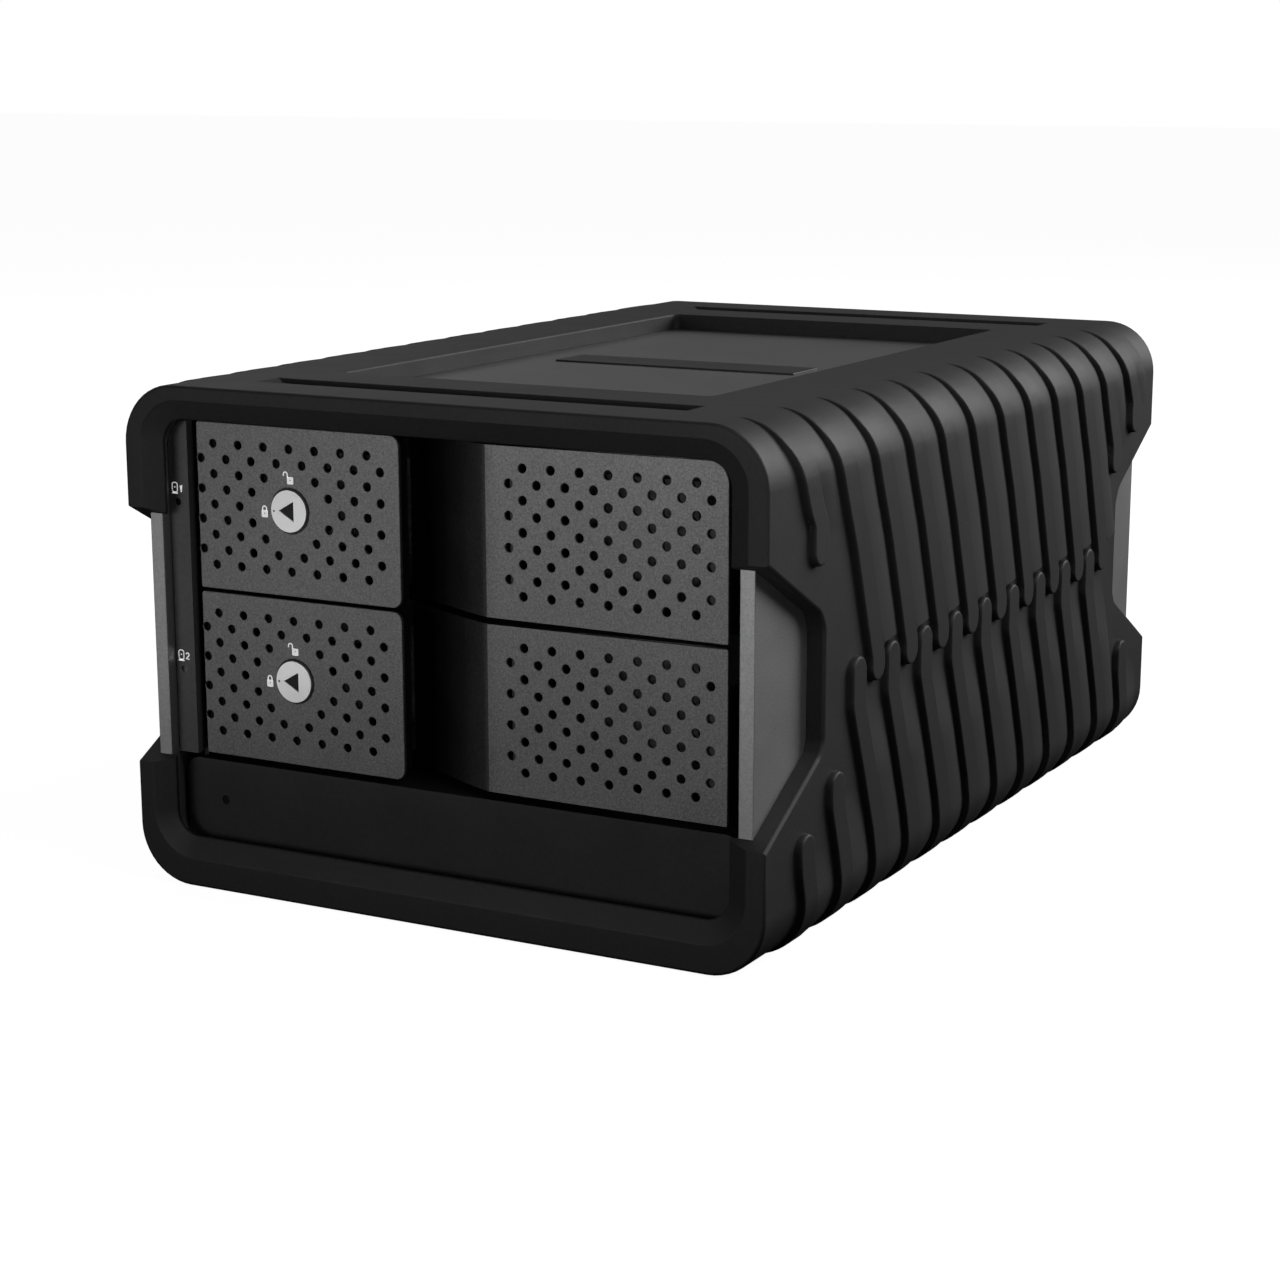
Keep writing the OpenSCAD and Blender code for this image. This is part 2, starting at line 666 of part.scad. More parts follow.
module lever_frame(z) {
    y0 = y_panel + panel_t;
    y1 = y_panel + 3.4;
    zc = z + hole_row_z;
    b0 = z + 3.2;
    b1 = z + tray_h - 3.2;
    color("#1b1b1d") difference() {
        union() {
            difference() {
                rounded_panel(lever_x0 + 0.5, lever_x1 - 0.4, z + 0.3, z + tray_h - 0.3, 2,
                    y0, y1);
                box(lever_x0 + 8, lever_x1 - 3, y0 - 1, y1 + 1, z + 2.6, z + tray_h - 2.6);
            }
            box(lock_x - 6.5, lock_x + 6.5, y0, y1, z + 2, z + tray_h - 2);
            rod_y(lock_x, zc, lock_r + 1.8, y0, y0 + 7);
            rod_z(hinge_x, hinge_y, 2.3, b0, b1);
            box(hinge_x - 1.4, hinge_x + 4, y1 - 0.2, hinge_y + 1.2, b0, b1);
            box(hinge_x + 2, lever_x1 - 4, y1 - 0.1, y1 + 1.2, zc - 8, zc - 6.6);
            box(hinge_x + 2, lever_x1 - 4, y1 - 0.1, y1 + 1.2, zc + 6.6, zc + 8);
        }
        rod_z(hinge_x, hinge_y, pin_r + pin_gap, z - 1, z + tray_h + 1);
        box(hinge_x - 3, hinge_x + 2.7, y0 - 1, hinge_y + 4, z - 1, b0);
        box(hinge_x - 3, hinge_x + 2.7, y0 - 1, hinge_y + 4, b1, z + tray_h + 1);
        rod_y(lock_x, zc, lock_r + 0.4, y0 - 1, y0 + 1.4);
        rod_y(lock_x, zc, lock_r + lock_gap, y0, y0 + 9);
    }
}

module lever_pin(z)
    color("#b8b8ba") rod_z(hinge_x, hinge_y, pin_r, z + 0.6, z + tray_h - 0.6);

module lock_ring(z) {
    zc = z + hole_row_z;
    color("#0f0f10") difference() {
        rod_y(lock_x, zc, lock_r + 0.34, y_panel - 0.1, y_panel + panel_t + 1.3);
        rod_y(lock_x, zc, lock_r + lock_gap, y_panel - 1, y_panel + 6);
    }
}

// lock cylinder with a three-cornered key socket, its point to the left
module lock_barrel(z) {
    zc = z + hole_row_z;
    color("#c9cacc") difference() {
        rod_y(lock_x, zc, lock_r, y_panel - 0.5, y_panel + lock_len);
        translate([lock_x, y_panel + 3, zc]) rotate([90, 0, 0]) rotate([0, 0, 180])
            cylinder(r = 2.3, h = 6, $fn = 3);
    }
}

module lock_cam(z) {
    zc = z + hole_row_z;
    y0 = y_panel + lock_len;
    color("#a8a9ab") {
        rod_y(lock_x, zc, 3.4, y0, y0 + 1.5);
        box(lock_x - 8, lock_x, y0, y0 + 1.5, zc - 2, zc + 2);
    }
}

module tray_frame(z) {
    y0 = y_panel + 18;
    y1 = y_panel + tray_len;
    x0 = tray_x0;
    x1 = tray_x1;
    z0 = z + 0.9;
    color("#37373a") difference() {
        union() {
            box(x0, x1, y0, y1, z0, z0 + 1.4);
            box(x0, x0 + 1.6, y_panel + 7.4, y1, z0, z + 24);
            box(x1 - 1.6, x1, y_panel + panel_t + 0.02, y1, z0, z + 24);
            box(x0, x1, y0, y0 + 1.6, z0, z + 31.6);
            box(x0 - 2.4, x0 + 0.1, y0 + 4, y1, z + 12 - rail_h / 2, z + 12 + rail_h / 2);
            box(x1 - 0.1, x1 + 2.4, y0 + 4, y1, z + 12 - rail_h / 2, z + 12 + rail_h / 2);
            box(14, 16, y_panel + panel_t + 0.02, y0 + 0.1, z0, z + 31.6);
            for (e = [z + 0.8, z + tray_h - 2.8]) {
                rod_z(hinge_x, hinge_y, 2.2, e, e + 2);
                box(hinge_x - 2.2, hinge_x + 2.2, hinge_y, y0 + 0.1, e, e + 2);
            }
            for (e = [z0, z + 22.6]) box(x0, x0 + 1.6, hinge_y + 3, y0, e, e + 1.4);
            box(x0, x0 + 1.6, y_panel + 7.4, y0 + 0.1, z0, z + tray_h - 0.8);
        }
        for (x = [-47, 16.5]) box(x, x + 28, y0 - 1, y0 + 3, z + 6, z + 26);
        for (y = [y0 + 10:25:y0 + 125]) box(-40, 42, y, y + 18, z - 1, z + 3);
        for (e = [z - 1]) rod_z(hinge_x, hinge_y, pin_r + 0.02, e, z + tray_h + 1);
        for (y = [y_panel + disk_in + 28, y_panel + disk_in + 130], x = [x0 - 4, x1 - 3])
            translate([x, y, z + 8.8]) rotate([0, 90, 0]) cylinder(r = 1.7, h = 7);
    }
}

module disk(z) {
    y0 = y_panel + disk_in;
    z0 = z + 2.6;
    c = disk_x;
    color("#8b8c8e") difference() {
        box(c - disk_w / 2, c + disk_w / 2, y0, y0 + disk_d, z0, z0 + disk_h - 1.2);
        box(c - 38, c + 38, y0 + 12, y0 + disk_d + 1, z0 - 1, z0 + 3.4);
        translate([c, y0 + 52, z0 + 6]) cylinder(r = 44, h = disk_h);
        box(c - 34, c + 30, y0 + 84, y0 + disk_d - 12, z0 + 8, z0 + disk_h);
        for (y = [y0 + 28, y0 + 130], s = [-1, 1]) translate([c + s * (disk_w / 2 - 6), y,
            z + 8.8]) rotate([0, s * 90, 0]) cylinder(r = 1.6, h = 8);
    }
}

module disk_lid(z) {
    y0 = y_panel + disk_in;
    z1 = z + 2.6 + disk_h;
    c = disk_x;
    color("#a5a6a8") {
        box(c - 47, c + 47, y0 + 3, y0 + disk_d - 3, z1 - 1.2, z1 - 0.2);
        translate([c, y0 + 62, z1 - 0.3]) cylinder(r = 40, h = 0.3);
        translate([c - 28, y0 + 122, z1 - 0.3]) cylinder(r = 9, h = 0.3);
    }
}

module disk_board(z) {
    y0 = y_panel + disk_in;
    z0 = z + 2.6;
    c = disk_x;
    color("#1d4f36") {
        box(c - 37, c + 37, y0 + 14, y0 + disk_d - 6, z0 + 1.7, z0 + 3.3);
        box(c - 30, c + 0.4, y0 + disk_d - 7, y0 + disk_d, z0 + 3.9 - 2.2, z0 + 3.3);
        for (x = [c - 20, c + 12]) box(x, x + 14, y0 + 60, y0 + 74, z0 + 0.6, z0 + 1.8);
    }
}

module disk_screws(z) {
    y0 = y_panel + disk_in;
    color("#b8b8ba") for (y = [y0 + 28, y0 + 130], s = [-1, 1]) {
        e = s > 0 ? tray_x1 : tray_x0;
        translate([e - s * 8, y, z + 8.8]) rotate([0, s * 90, 0]) cylinder(r = 1.5, h = 7.9);
    }
}

// ---------- named nodes ----------
module tray_upper() tray_frame(zu);
module tray_front_upper() tray_front(zu, 4.5);
module disk_upper() disk(zu);
module disk_lid_upper() disk_lid(zu);
module disk_board_upper() disk_board(zu);
module disk_screws_upper() disk_screws(zu);
module lever_pin_upper() lever_pin(zu);
module lever_upper() lever(zu);
module lever_frame_upper() lever_frame(zu);
module lock_ring_upper() lock_ring(zu);
module lock_upper() lock_barrel(zu);
module lock_cam_upper() lock_cam(zu);
module tray_lower() tray_frame(zl);
module tray_front_lower() tray_front(zl, 1);
module disk_lower() disk(zl);
module disk_lid_lower() disk_lid(zl);
module disk_board_lower() disk_board(zl);
module disk_screws_lower() disk_screws(zl);
module lever_pin_lower() lever_pin(zl);
module lever_lower() lever(zl);
module lever_frame_lower() lever_frame(zl);
module lock_ring_lower() lock_ring(zl);
module lock_lower() lock_barrel(zl);
module lock_cam_lower() lock_cam(zl);

bumper();
tube();
top_badge();
front_bezel();
status_strip();
status_leds();
cage_left();
cage_right();
cage_floor();
cage_screws();
backplane();
disk_sockets();
main_board();
board_parts();
heat_sink();
rear_panel();
rear_screws();
fan_frame();
fan_screws();
fan_rotor();
rocker_housing();
power_rocker();
mode_dial();
set_button();
data_ports();
power_jack();
tray_upper();
tray_front_upper();
disk_upper();
disk_lid_upper();
disk_board_upper();
disk_screws_upper();
lever_pin_upper();
lever_upper();
lever_frame_upper();
lock_ring_upper();
lock_upper();
lock_cam_upper();
tray_lower();
tray_front_lower();
disk_lower();
disk_lid_lower();
disk_board_lower();
disk_screws_lower();
lever_pin_lower();
lever_lower();
lever_frame_lower();
lock_ring_lower();
lock_lower();
lock_cam_lower();
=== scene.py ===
import json
import math

import bmesh
import bpy
import numpy as np
from mathutils import Euler, Matrix, Vector
from mathutils.geometry import delaunay_2d_cdt


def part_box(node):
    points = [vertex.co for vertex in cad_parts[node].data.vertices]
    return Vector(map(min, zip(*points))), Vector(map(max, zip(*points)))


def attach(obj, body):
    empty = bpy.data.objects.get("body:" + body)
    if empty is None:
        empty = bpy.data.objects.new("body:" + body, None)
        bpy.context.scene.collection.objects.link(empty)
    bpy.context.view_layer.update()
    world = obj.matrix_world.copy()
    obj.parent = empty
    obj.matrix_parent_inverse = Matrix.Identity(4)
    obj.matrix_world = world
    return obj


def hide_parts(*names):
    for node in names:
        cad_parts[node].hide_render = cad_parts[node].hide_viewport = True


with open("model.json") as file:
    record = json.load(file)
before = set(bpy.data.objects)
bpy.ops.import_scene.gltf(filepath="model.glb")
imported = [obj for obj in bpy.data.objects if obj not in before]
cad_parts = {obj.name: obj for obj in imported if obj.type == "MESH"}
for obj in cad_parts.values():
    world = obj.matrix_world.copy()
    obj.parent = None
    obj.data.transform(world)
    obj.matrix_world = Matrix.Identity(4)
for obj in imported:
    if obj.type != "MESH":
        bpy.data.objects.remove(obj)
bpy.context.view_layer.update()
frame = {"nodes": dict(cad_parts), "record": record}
NODES = frame["nodes"]
MM = 0.001  # one millimetre in metres; the shapes below are written in millimetres
scene = bpy.context.scene


# ---------------------------------------------------------------- materials
def mat_base(name):
    m = bpy.data.materials.new(name)
    m.use_nodes = True
    nt = m.node_tree
    bsdf = next(n for n in nt.nodes if n.type == "BSDF_PRINCIPLED")
    co = nt.nodes.new("ShaderNodeTexCoord")
    return m, nt, bsdf, co.outputs["Object"]


def noise(nt, vec, scale, detail=2.0, rough=0.5, stretch=None):
    """Noise in the object's own coordinates; stretch scales them per axis."""
    if stretch is not None:
        mp = nt.nodes.new("ShaderNodeMapping")
        mp.inputs["Scale"].default_value = stretch
        nt.links.new(vec, mp.inputs["Vector"])
        vec = mp.outputs["Vector"]
    n = nt.nodes.new("ShaderNodeTexNoise")
    n.inputs["Scale"].default_value = scale
    n.inputs["Detail"].default_value = detail
    n.inputs["Roughness"].default_value = rough
    nt.links.new(vec, n.inputs["Vector"])
    return n.outputs["Fac"]


def ramp(nt, fac, stops):
    """Colour ramp; a stop is (position, grey) or (position, (r, g, b))."""
    r = nt.nodes.new("ShaderNodeValToRGB")
    els = r.color_ramp.elements
    while len(els) < len(stops):
        els.new(0.5)
    for e, (p, c) in zip(els, stops):
        e.position = p
        e.color = (c, c, c, 1) if isinstance(c, (int, float)) else (*c, 1)
    nt.links.new(fac, r.inputs["Fac"])
    return r.outputs["Color"]


def bump(nt, bsdf, height, dist):
    b = nt.nodes.new("ShaderNodeBump")
    b.inputs["Strength"].default_value = 1.0
    b.inputs["Distance"].default_value = dist
    nt.links.new(height, b.inputs["Height"])
    nt.links.new(b.outputs["Normal"], bsdf.inputs["Normal"])


def tinted(nt, col, factor, operation, socket):
    """The colour multiplied by a factor, either a number (SCALE) or a colour (MULTIPLY)."""
    tone = nt.nodes.new("ShaderNodeVectorMath")
    tone.operation = operation
    nt.links.new(col, tone.inputs[0])
    nt.links.new(factor, tone.inputs[socket])
    return tone.outputs["Vector"]


def along(nt, vec, axis, limits, values=(0.0, 1.0)):
    """A value that runs between two numbers along one of the object's axes."""
    sep = nt.nodes.new("ShaderNodeSeparateXYZ")
    nt.links.new(vec, sep.inputs["Vector"])
    run = nt.nodes.new("ShaderNodeMapRange")
    for key, val in zip(("From Min", "From Max", "To Min", "To Max"), (*limits, *values)):
        run.inputs[key].default_value = val
    nt.links.new(sep.outputs[axis], run.inputs["Value"])
    return run.outputs["Result"]


def grained(name, dark, light, rough, scale, dist, metal=0.0, spec=0.5,
            patch=60.0, patch_amp=0.12, rough_amp=0.06, stretch=None,
            painted_shade_above=None, shaded_behind=None):
    """Moulded or blasted surface: fine grain in colour and bump, broad variation in tone and gloss.

    Two options paint shade into the colour: one is (height, factor) and darkens all above that
    height by the factor; the other is the depth where the painted shade starts and ends, and
    darkens more the deeper it lies."""
    m, nt, b, vec = mat_base(name)
    b.inputs["Metallic"].default_value = metal
    b.inputs["Specular IOR Level"].default_value = spec
    fine = noise(nt, vec, scale, 2.0, 0.6, stretch)
    broad = noise(nt, vec, patch, 3.0, 0.55)
    mix = nt.nodes.new("ShaderNodeMix")
    mix.data_type = "FLOAT"
    mix.inputs["Factor"].default_value = patch_amp
    nt.links.new(fine, mix.inputs["A"])
    nt.links.new(broad, mix.inputs["B"])
    col = ramp(nt, mix.outputs["Result"], [(0.30, dark), (0.70, light)])
    # painted shade: the colour is darkened above a given height
    if painted_shade_above is not None:
        height, factor = painted_shade_above
        fade = along(nt, vec, "Z", (height, height + 0.0005), (1.0, factor))
        col = tinted(nt, col, fade, "SCALE", "Scale")
    # painted shade: the colour darkens the deeper it lies between the two depths
    if shaded_behind is not None:
        deep = along(nt, vec, "Y", shaded_behind)
        shade = ramp(nt, deep, [(0.0, 1.0), (0.06, 0.5), (0.9, 0.1)])
        col = tinted(nt, col, shade, "MULTIPLY", 1)
    nt.links.new(col, b.inputs["Base Color"])
    rgh = ramp(nt, broad, [(0.25, max(0.02, rough - rough_amp)),
                           (0.75, min(1.0, rough + rough_amp))])
    nt.links.new(rgh, b.inputs["Roughness"])
    bump(nt, b, fine, dist)
    return m


def grey(level, blue=0.0):
    return (level, level, level + blue)


# where painted shade starts in the tube's and the panels' colour, in metres
TUBE_TOP = 0.0963                             # the tube's top face lies just above this height and is painted darker there, as shade
PANEL_FRONT, RECESS_BACK = -0.10018, -0.0925  # Y of the panels' front and of the recess's depth

MAT = {
    "rubber": grained(
        "sleeve_rubber", grey(0.0135, 0.0004), grey(0.0195, 0.0006), 0.58, 1500, 0.00002,
        spec=0.40, rough_amp=0.04),
    # the tube's top face, seen through the sleeve's window, is painted darker (factor 0.45) as
    # shade
    "tube_aluminium": grained(
        "blasted_tube", grey(0.34, 0.004), grey(0.46, 0.005), 0.46, 2600, 0.000012,
        metal=0.9, patch_amp=0.12, rough_amp=0.025, painted_shade_above=(TUBE_TOP, 0.45)),
    # the panels darken behind their front plane, in the hole walls and into the finger recess, as
    # painted shade
    "panel_aluminium": grained(
        "blasted_panel", grey(0.125, 0.002), grey(0.255, 0.003), 0.46, 2600, 0.00002,
        metal=0.85, patch_amp=0.2, shaded_behind=(PANEL_FRONT, RECESS_BACK)),
    "black_plastic": grained(
        "satin_black", grey(0.012, 0.0003), grey(0.018, 0.0004), 0.42, 1300, 0.00001, spec=0.45),
    "strip_plastic": grained(
        "satin_strip", grey(0.066, 0.001), grey(0.086, 0.0015), 0.40, 1300, 0.000004),
    "badge": grained(
        "blank_plate", grey(0.008, 0.0003), grey(0.013, 0.0004), 0.32, 900, 0.000005),
    "steel_sheet": grained(
        "coated_sheet", grey(0.055, 0.002), grey(0.085, 0.002), 0.5, 800, 0.00002, metal=0.3),
    "fastener": grained(
        "plain_steel", grey(0.30, 0.005), grey(0.46, 0.005), 0.33, 900, 0.00001, metal=1.0),
    "chip": grained(
        "moulded_part", grey(0.010, 0.0005), grey(0.018, 0.0005), 0.5, 1200, 0.00001),
    "sink": grained(
        "extruded_sink", grey(0.20, 0.005), grey(0.30, 0.005), 0.4, 500, 0.00001,
        metal=1.0, stretch=(1, 0.05, 1)),
    "fan_plastic": grained(
        "fan_black", grey(0.010, 0.0002), grey(0.016, 0.0003), 0.38, 1200, 0.00001),
    "port_metal": grained(
        "plated_shell", grey(0.42, 0.01), grey(0.56, 0.01), 0.24, 1500, 0.000005, metal=1.0),
    "disk_cast": grained(
        "cast_disk", grey(0.24, 0.005), grey(0.36, 0.005), 0.5, 700, 0.00003, metal=0.9),
    "disk_lid": grained(
        "stamped_lid", grey(0.36, 0.005), grey(0.44, 0.005), 0.3, 500, 0.000005,
        metal=1.0, stretch=(1, 0.04, 1)),
    "tray_plastic": grained(
        "tray_grey", grey(0.013, 0.0005), grey(0.020, 0.0007), 0.48, 1200, 0.00001),
    "lens": grained(
        "light_lens", (0.006, 0.007, 0.008), (0.012, 0.013, 0.015), 0.2, 600, 0.000002, patch=300),
}


def board_material():
    """Green board: a fine grid of tracks under an uneven mask."""
    m, nt, b, vec = mat_base("circuit_board")
    base = noise(nt, vec, 260, 3)
    brick = nt.nodes.new("ShaderNodeTexBrick")
    brick.inputs["Scale"].default_value = 180
    brick.inputs["Mortar Size"].default_value = 0.03
    brick.inputs["Color1"].default_value = (0.006, 0.055, 0.028, 1)
    brick.inputs["Color2"].default_value = (0.008, 0.075, 0.036, 1)
    brick.inputs["Mortar"].default_value = (0.015, 0.14, 0.07, 1)
    nt.links.new(vec, brick.inputs["Vector"])
    mix = nt.nodes.new("ShaderNodeMix")
    mix.data_type = "RGBA"
    nt.links.new(base, mix.inputs["Factor"])
    nt.links.new(brick.outputs["Color"], mix.inputs["A"])
    mix.inputs["B"].default_value = (0.006, 0.05, 0.026, 1)
    nt.links.new(mix.outputs["Result"], b.inputs["Base Color"])
    nt.links.new(ramp(nt, base, [(0.2, 0.32), (0.8, 0.5)]), b.inputs["Roughness"])
    bump(nt, b, brick.outputs["Fac"], 0.00002)
    return m


def lock_material():
    """Bright satin disc with a fine, slightly uneven gloss."""
    m, nt, b, vec = mat_base("satin_lock")
    b.inputs["Metallic"].default_value = 0.8
    n = noise(nt, vec, 1400, 3, 0.6)
    nt.links.new(ramp(nt, n, [(0.2, 0.95), (0.8, 1.0)]), b.inputs["Base Color"])
    nt.links.new(ramp(nt, n, [(0.2, 0.30), (0.8, 0.34)]), b.inputs["Roughness"])
    bump(nt, b, n, 0.0000002)
    return m


def paint_material(name, dark, light, rough=0.45, spec=0.5, lift=0.0):
    """Print or paint between two greys; lift is a weak glow that keeps white prints white."""
    m, nt, b, vec = mat_base(name)
    b.inputs["Specular IOR Level"].default_value = spec
    b.inputs["Emission Strength"].default_value = lift
    n = noise(nt, vec, 900, 2)
    tone = ramp(nt, n, [(0.3, dark), (0.7, light)])
    nt.links.new(tone, b.inputs["Base Color"])
    nt.links.new(tone, b.inputs["Emission Color"])
    nt.links.new(ramp(nt, n, [(0.2, rough - 0.05), (0.8, rough + 0.05)]), b.inputs["Roughness"])
    bump(nt, b, n, 0.000004)
    return m


MAT["board"] = board_material()
MAT["lock_metal"] = lock_material()
MAT["white_print"] = paint_material("white_print", 0.93, 1.0, lift=0.4)
MAT["grey_print"] = paint_material("grey_print", 0.16, 0.24)
# near-black paint for the floor of the locks' key sockets: painted shade of a deep socket
MAT["painted_socket_shade"] = paint_material("socket_painted_shade", 0.004, 0.007, 0.6)
# near-black, dull colour for the lever frames behind the perforated sheets: black plastic made
# darker as painted shade seen through the holes
MAT["shade_behind_holes"] = paint_material("shade_behind_holes", 0.003, 0.006, 0.7, 0.12)

SLOT_OF = {s["node"]: s["material_slot"] for s in frame["record"]["subparts"]}
for node, obj in NODES.items():
    obj.data.materials.clear()
    # the lever frames take the painted shade behind the holes
    behind = node.startswith("lever_frame")
    obj.data.materials.append(MAT["shade_behind_holes" if behind else SLOT_OF[node]])


# ---------------------------------------------------------------- mesh helpers
def mesh_from(name, verts, faces):
    """A mesh from vertices in millimetres and faces as index tuples."""
    me = bpy.data.meshes.new(name)
    me.from_pydata([tuple(c * MM for c in v) for v in verts], [], [tuple(f) for f in faces])
    me.update()
    return me


def placed(name, me):
    ob = bpy.data.objects.new(name, me)
    scene.collection.objects.link(ob)
    return ob


def finish_mesh(name, verts, faces, body, slot, material=None, sharp=30.0, weighted=True):
    """A piece with smooth shading, whose edges over `sharp` degrees stay crisp."""
    me = mesh_from(name, verts, faces)
    bm = bmesh.new()
    bm.from_mesh(me)
    bmesh.ops.remove_doubles(bm, verts=bm.verts, dist=1e-7)
    bmesh.ops.dissolve_degenerate(bm, edges=bm.edges, dist=1e-7)
    bmesh.ops.recalc_face_normals(bm, faces=bm.faces)
    lim = math.radians(sharp)
    for f in bm.faces:
        f.smooth = True
    for e in bm.edges:
        if len(e.link_faces) == 2 and e.calc_face_angle(0.0) > lim:
            e.smooth = False
    bm.to_mesh(me)
    bm.free()
    ob = placed(name, me)
    ob.data.materials.append(MAT[material or slot])
    if weighted:
        w = ob.modifiers.new("normals", "WEIGHTED_NORMAL")
        w.keep_sharp = True
    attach(ob, body)
    return ob


def rr_loop(hw, z0, z1, r, n):
    """Rounded rectangle in X and Z, corner by corner, always 4 * (n + 1) points."""
    pts = []
    corners = ((hw - r, z1 - r, 0), (-hw + r, z1 - r, 90),
               (-hw + r, z0 + r, 180), (hw - r, z0 + r, 270))
    for cx, cz, a0 in corners:
        for k in range(n + 1):
            a = math.radians(a0 + 90 * k / n)
            pts.append((cx + r * math.cos(a), cz + r * math.sin(a)))
    return pts


def bridge(faces, a, b, n):
    """Adds the quads between two closed rings of n points that start at a and b."""
    for k in range(n):
        faces.append((a + k, a + (k + 1) % n, b + (k + 1) % n, b + k))


# ---------------------------------------------------------------- rubber sleeve
blo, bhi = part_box("bumper")
tlo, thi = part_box("tube")
HALF_LENGTH = abs(blo.y / MM)
TUBE_HALF_LENGTH = abs(tlo.y / MM)
TUBE_HALF_WIDTH, TUBE_Z0, TUBE_Z1 = thi.x / MM, tlo.z / MM, thi.z / MM
H = bhi.z / MM               # height of the sleeve
RIB = 1.4                    # height of a rib over the sleeve's side
BW = bhi.x / MM - RIB        # half width of the sleeve without its ribs
CR = 11.8                    # radius of the sleeve's long edges
EDGE_FILLET = 0.7            # rounding of the sleeve's front and rear edges
RING_STEPS = 12              # segments in each corner of a ring
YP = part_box("lever_upper")[0].y / MM  # front plane of the panels


def sleeve_body():
    """Closed tube of rubber, lofted through rings: outside, front lip, inside, rear lip."""
    def side(s):
        """Rings (y, half width, z0, z1, radius) from the outside over the lip to the tube."""
        front = []
        ay = HALF_LENGTH
        # rounded outer edge
        for a in (0, 22, 45, 68, 90):
            i = EDGE_FILLET * (1 - math.cos(math.radians(a)))
            y = EDGE_FILLET * (1 - math.sin(math.radians(a)))
            front.append((s * (ay - y), BW - i, i, H - i, CR - i))
        # flat end face, bevel, inner lip, and in to the tube
        front += [
            (s * ay, 66.45, 5.55, H - 2.85, 9.3),
            (s * (ay - 0.06), 66.2, 5.82, H - 2.57, 9.1),
            (s * (ay - 0.22), 65.9, 6.15, H - 2.8, 8.8),
            (s * (ay - 1.72), 62.35, 9.75, H - 6.55, 5.3),
            (s * (ay - 1.95), 62.12, 9.98, H - 6.78, 5.05),
            (s * (ay - 2.2), 62.1, 10.0, H - 6.8, 5.0),
            (s * (TUBE_HALF_LENGTH + 0.02), 62.1, 10.0, H - 6.8, 5.0),
            (s * (TUBE_HALF_LENGTH + 0.02), TUBE_HALF_WIDTH + 0.06,
             TUBE_Z0 - 0.06, TUBE_Z1 + 0.06, 9.05),
        ]
        return front

    rows = side(-1) + side(1)[::-1]
    n = 4 * (RING_STEPS + 1)
    verts, faces = [], []
    for y, hw, z0, z1, r in rows:
        verts += [(x, y, z) for x, z in rr_loop(hw, z0, z1, r, RING_STEPS)]
    m = len(rows)
    for i in range(m):
        bridge(faces, i * n, ((i + 1) % m) * n, n)
    return verts, faces


def prism(levels, axis):
    """Closed solid through polygons of equal length at positions along an axis (0 X, 2 Z)."""
    verts, faces = [], []
    n = len(levels[0][1])
    for pos, poly in levels:
        for a, b in poly:
            verts.append((pos, a, b) if axis == 0 else (a, b, pos))
    for i in range(len(levels) - 1):
        bridge(faces, i * n, (i + 1) * n, n)
    faces.append(tuple(range(n)))
    faces.append(tuple(range((len(levels) - 1) * n, len(levels) * n)))
    return verts, faces


def offset_poly(poly, d):
    """Each corner of a counter-clockwise polygon moved outwards by d."""
    out = []
    n = len(poly)
    for i in range(n):
        p0, p1, p2 = Vector(poly[i - 1]), Vector(poly[i]), Vector(poly[(i + 1) % n])
        e1, e2 = (p1 - p0).normalized(), (p2 - p1).normalized()
        n1, n2 = Vector((e1.y, -e1.x)), Vector((e2.y, -e2.x))
        k = 1 + n1.dot(n2)
        q = p1 + (n1 + n2) * (d / max(k, 0.3))
        out.append((q.x, q.y))
    return out


def fillet_poly(poly, radii, n=6):
    """The polygon with each corner rounded by its own radius, 0 for a sharp one."""
    out = []
    m = len(poly)
    for i in range(m):
        p0, p1, p2 = Vector(poly[i - 1]), Vector(poly[i]), Vector(poly[(i + 1) % m])
        r = radii[i]
        if r <= 0:
            out.append(tuple(p1))
            continue
        e1, e2 = (p0 - p1).normalized(), (p2 - p1).normalized()
        ang = math.acos(max(-1, min(1, e1.dot(e2))))
        t = r / math.tan(ang / 2)
        a, b = p1 + e1 * t, p1 + e2 * t
        c = p1 + (e1 + e2).normalized() * (r / math.sin(ang / 2))
        va, vb = a - c, b - c
        sweep = va.angle_signed(vb)
        for k in range(n + 1):
            v = va.copy()
            v.rotate(Matrix.Rotation(-sweep * k / n, 2))
            out.append((c.x + v.x, c.y + v.y))
    return out


FLARE = [(0.0, 0.0), (0.08, 0.02), (0.3, 0.12), (0.52, 0.34), (0.62, 0.62)]  # (outwards, grows)
NOTCH_FLARE, WINDOW_FLARE = 1.3, 0.68  # how much of the flare each kind of cut gets
WINDOW = (41.7, 72.1, 1.6)             # half width, half depth, corner radius
SLOT_Y = (13.0, 20.2)                  # front and rear edge of a cross slot, from the sleeve's end


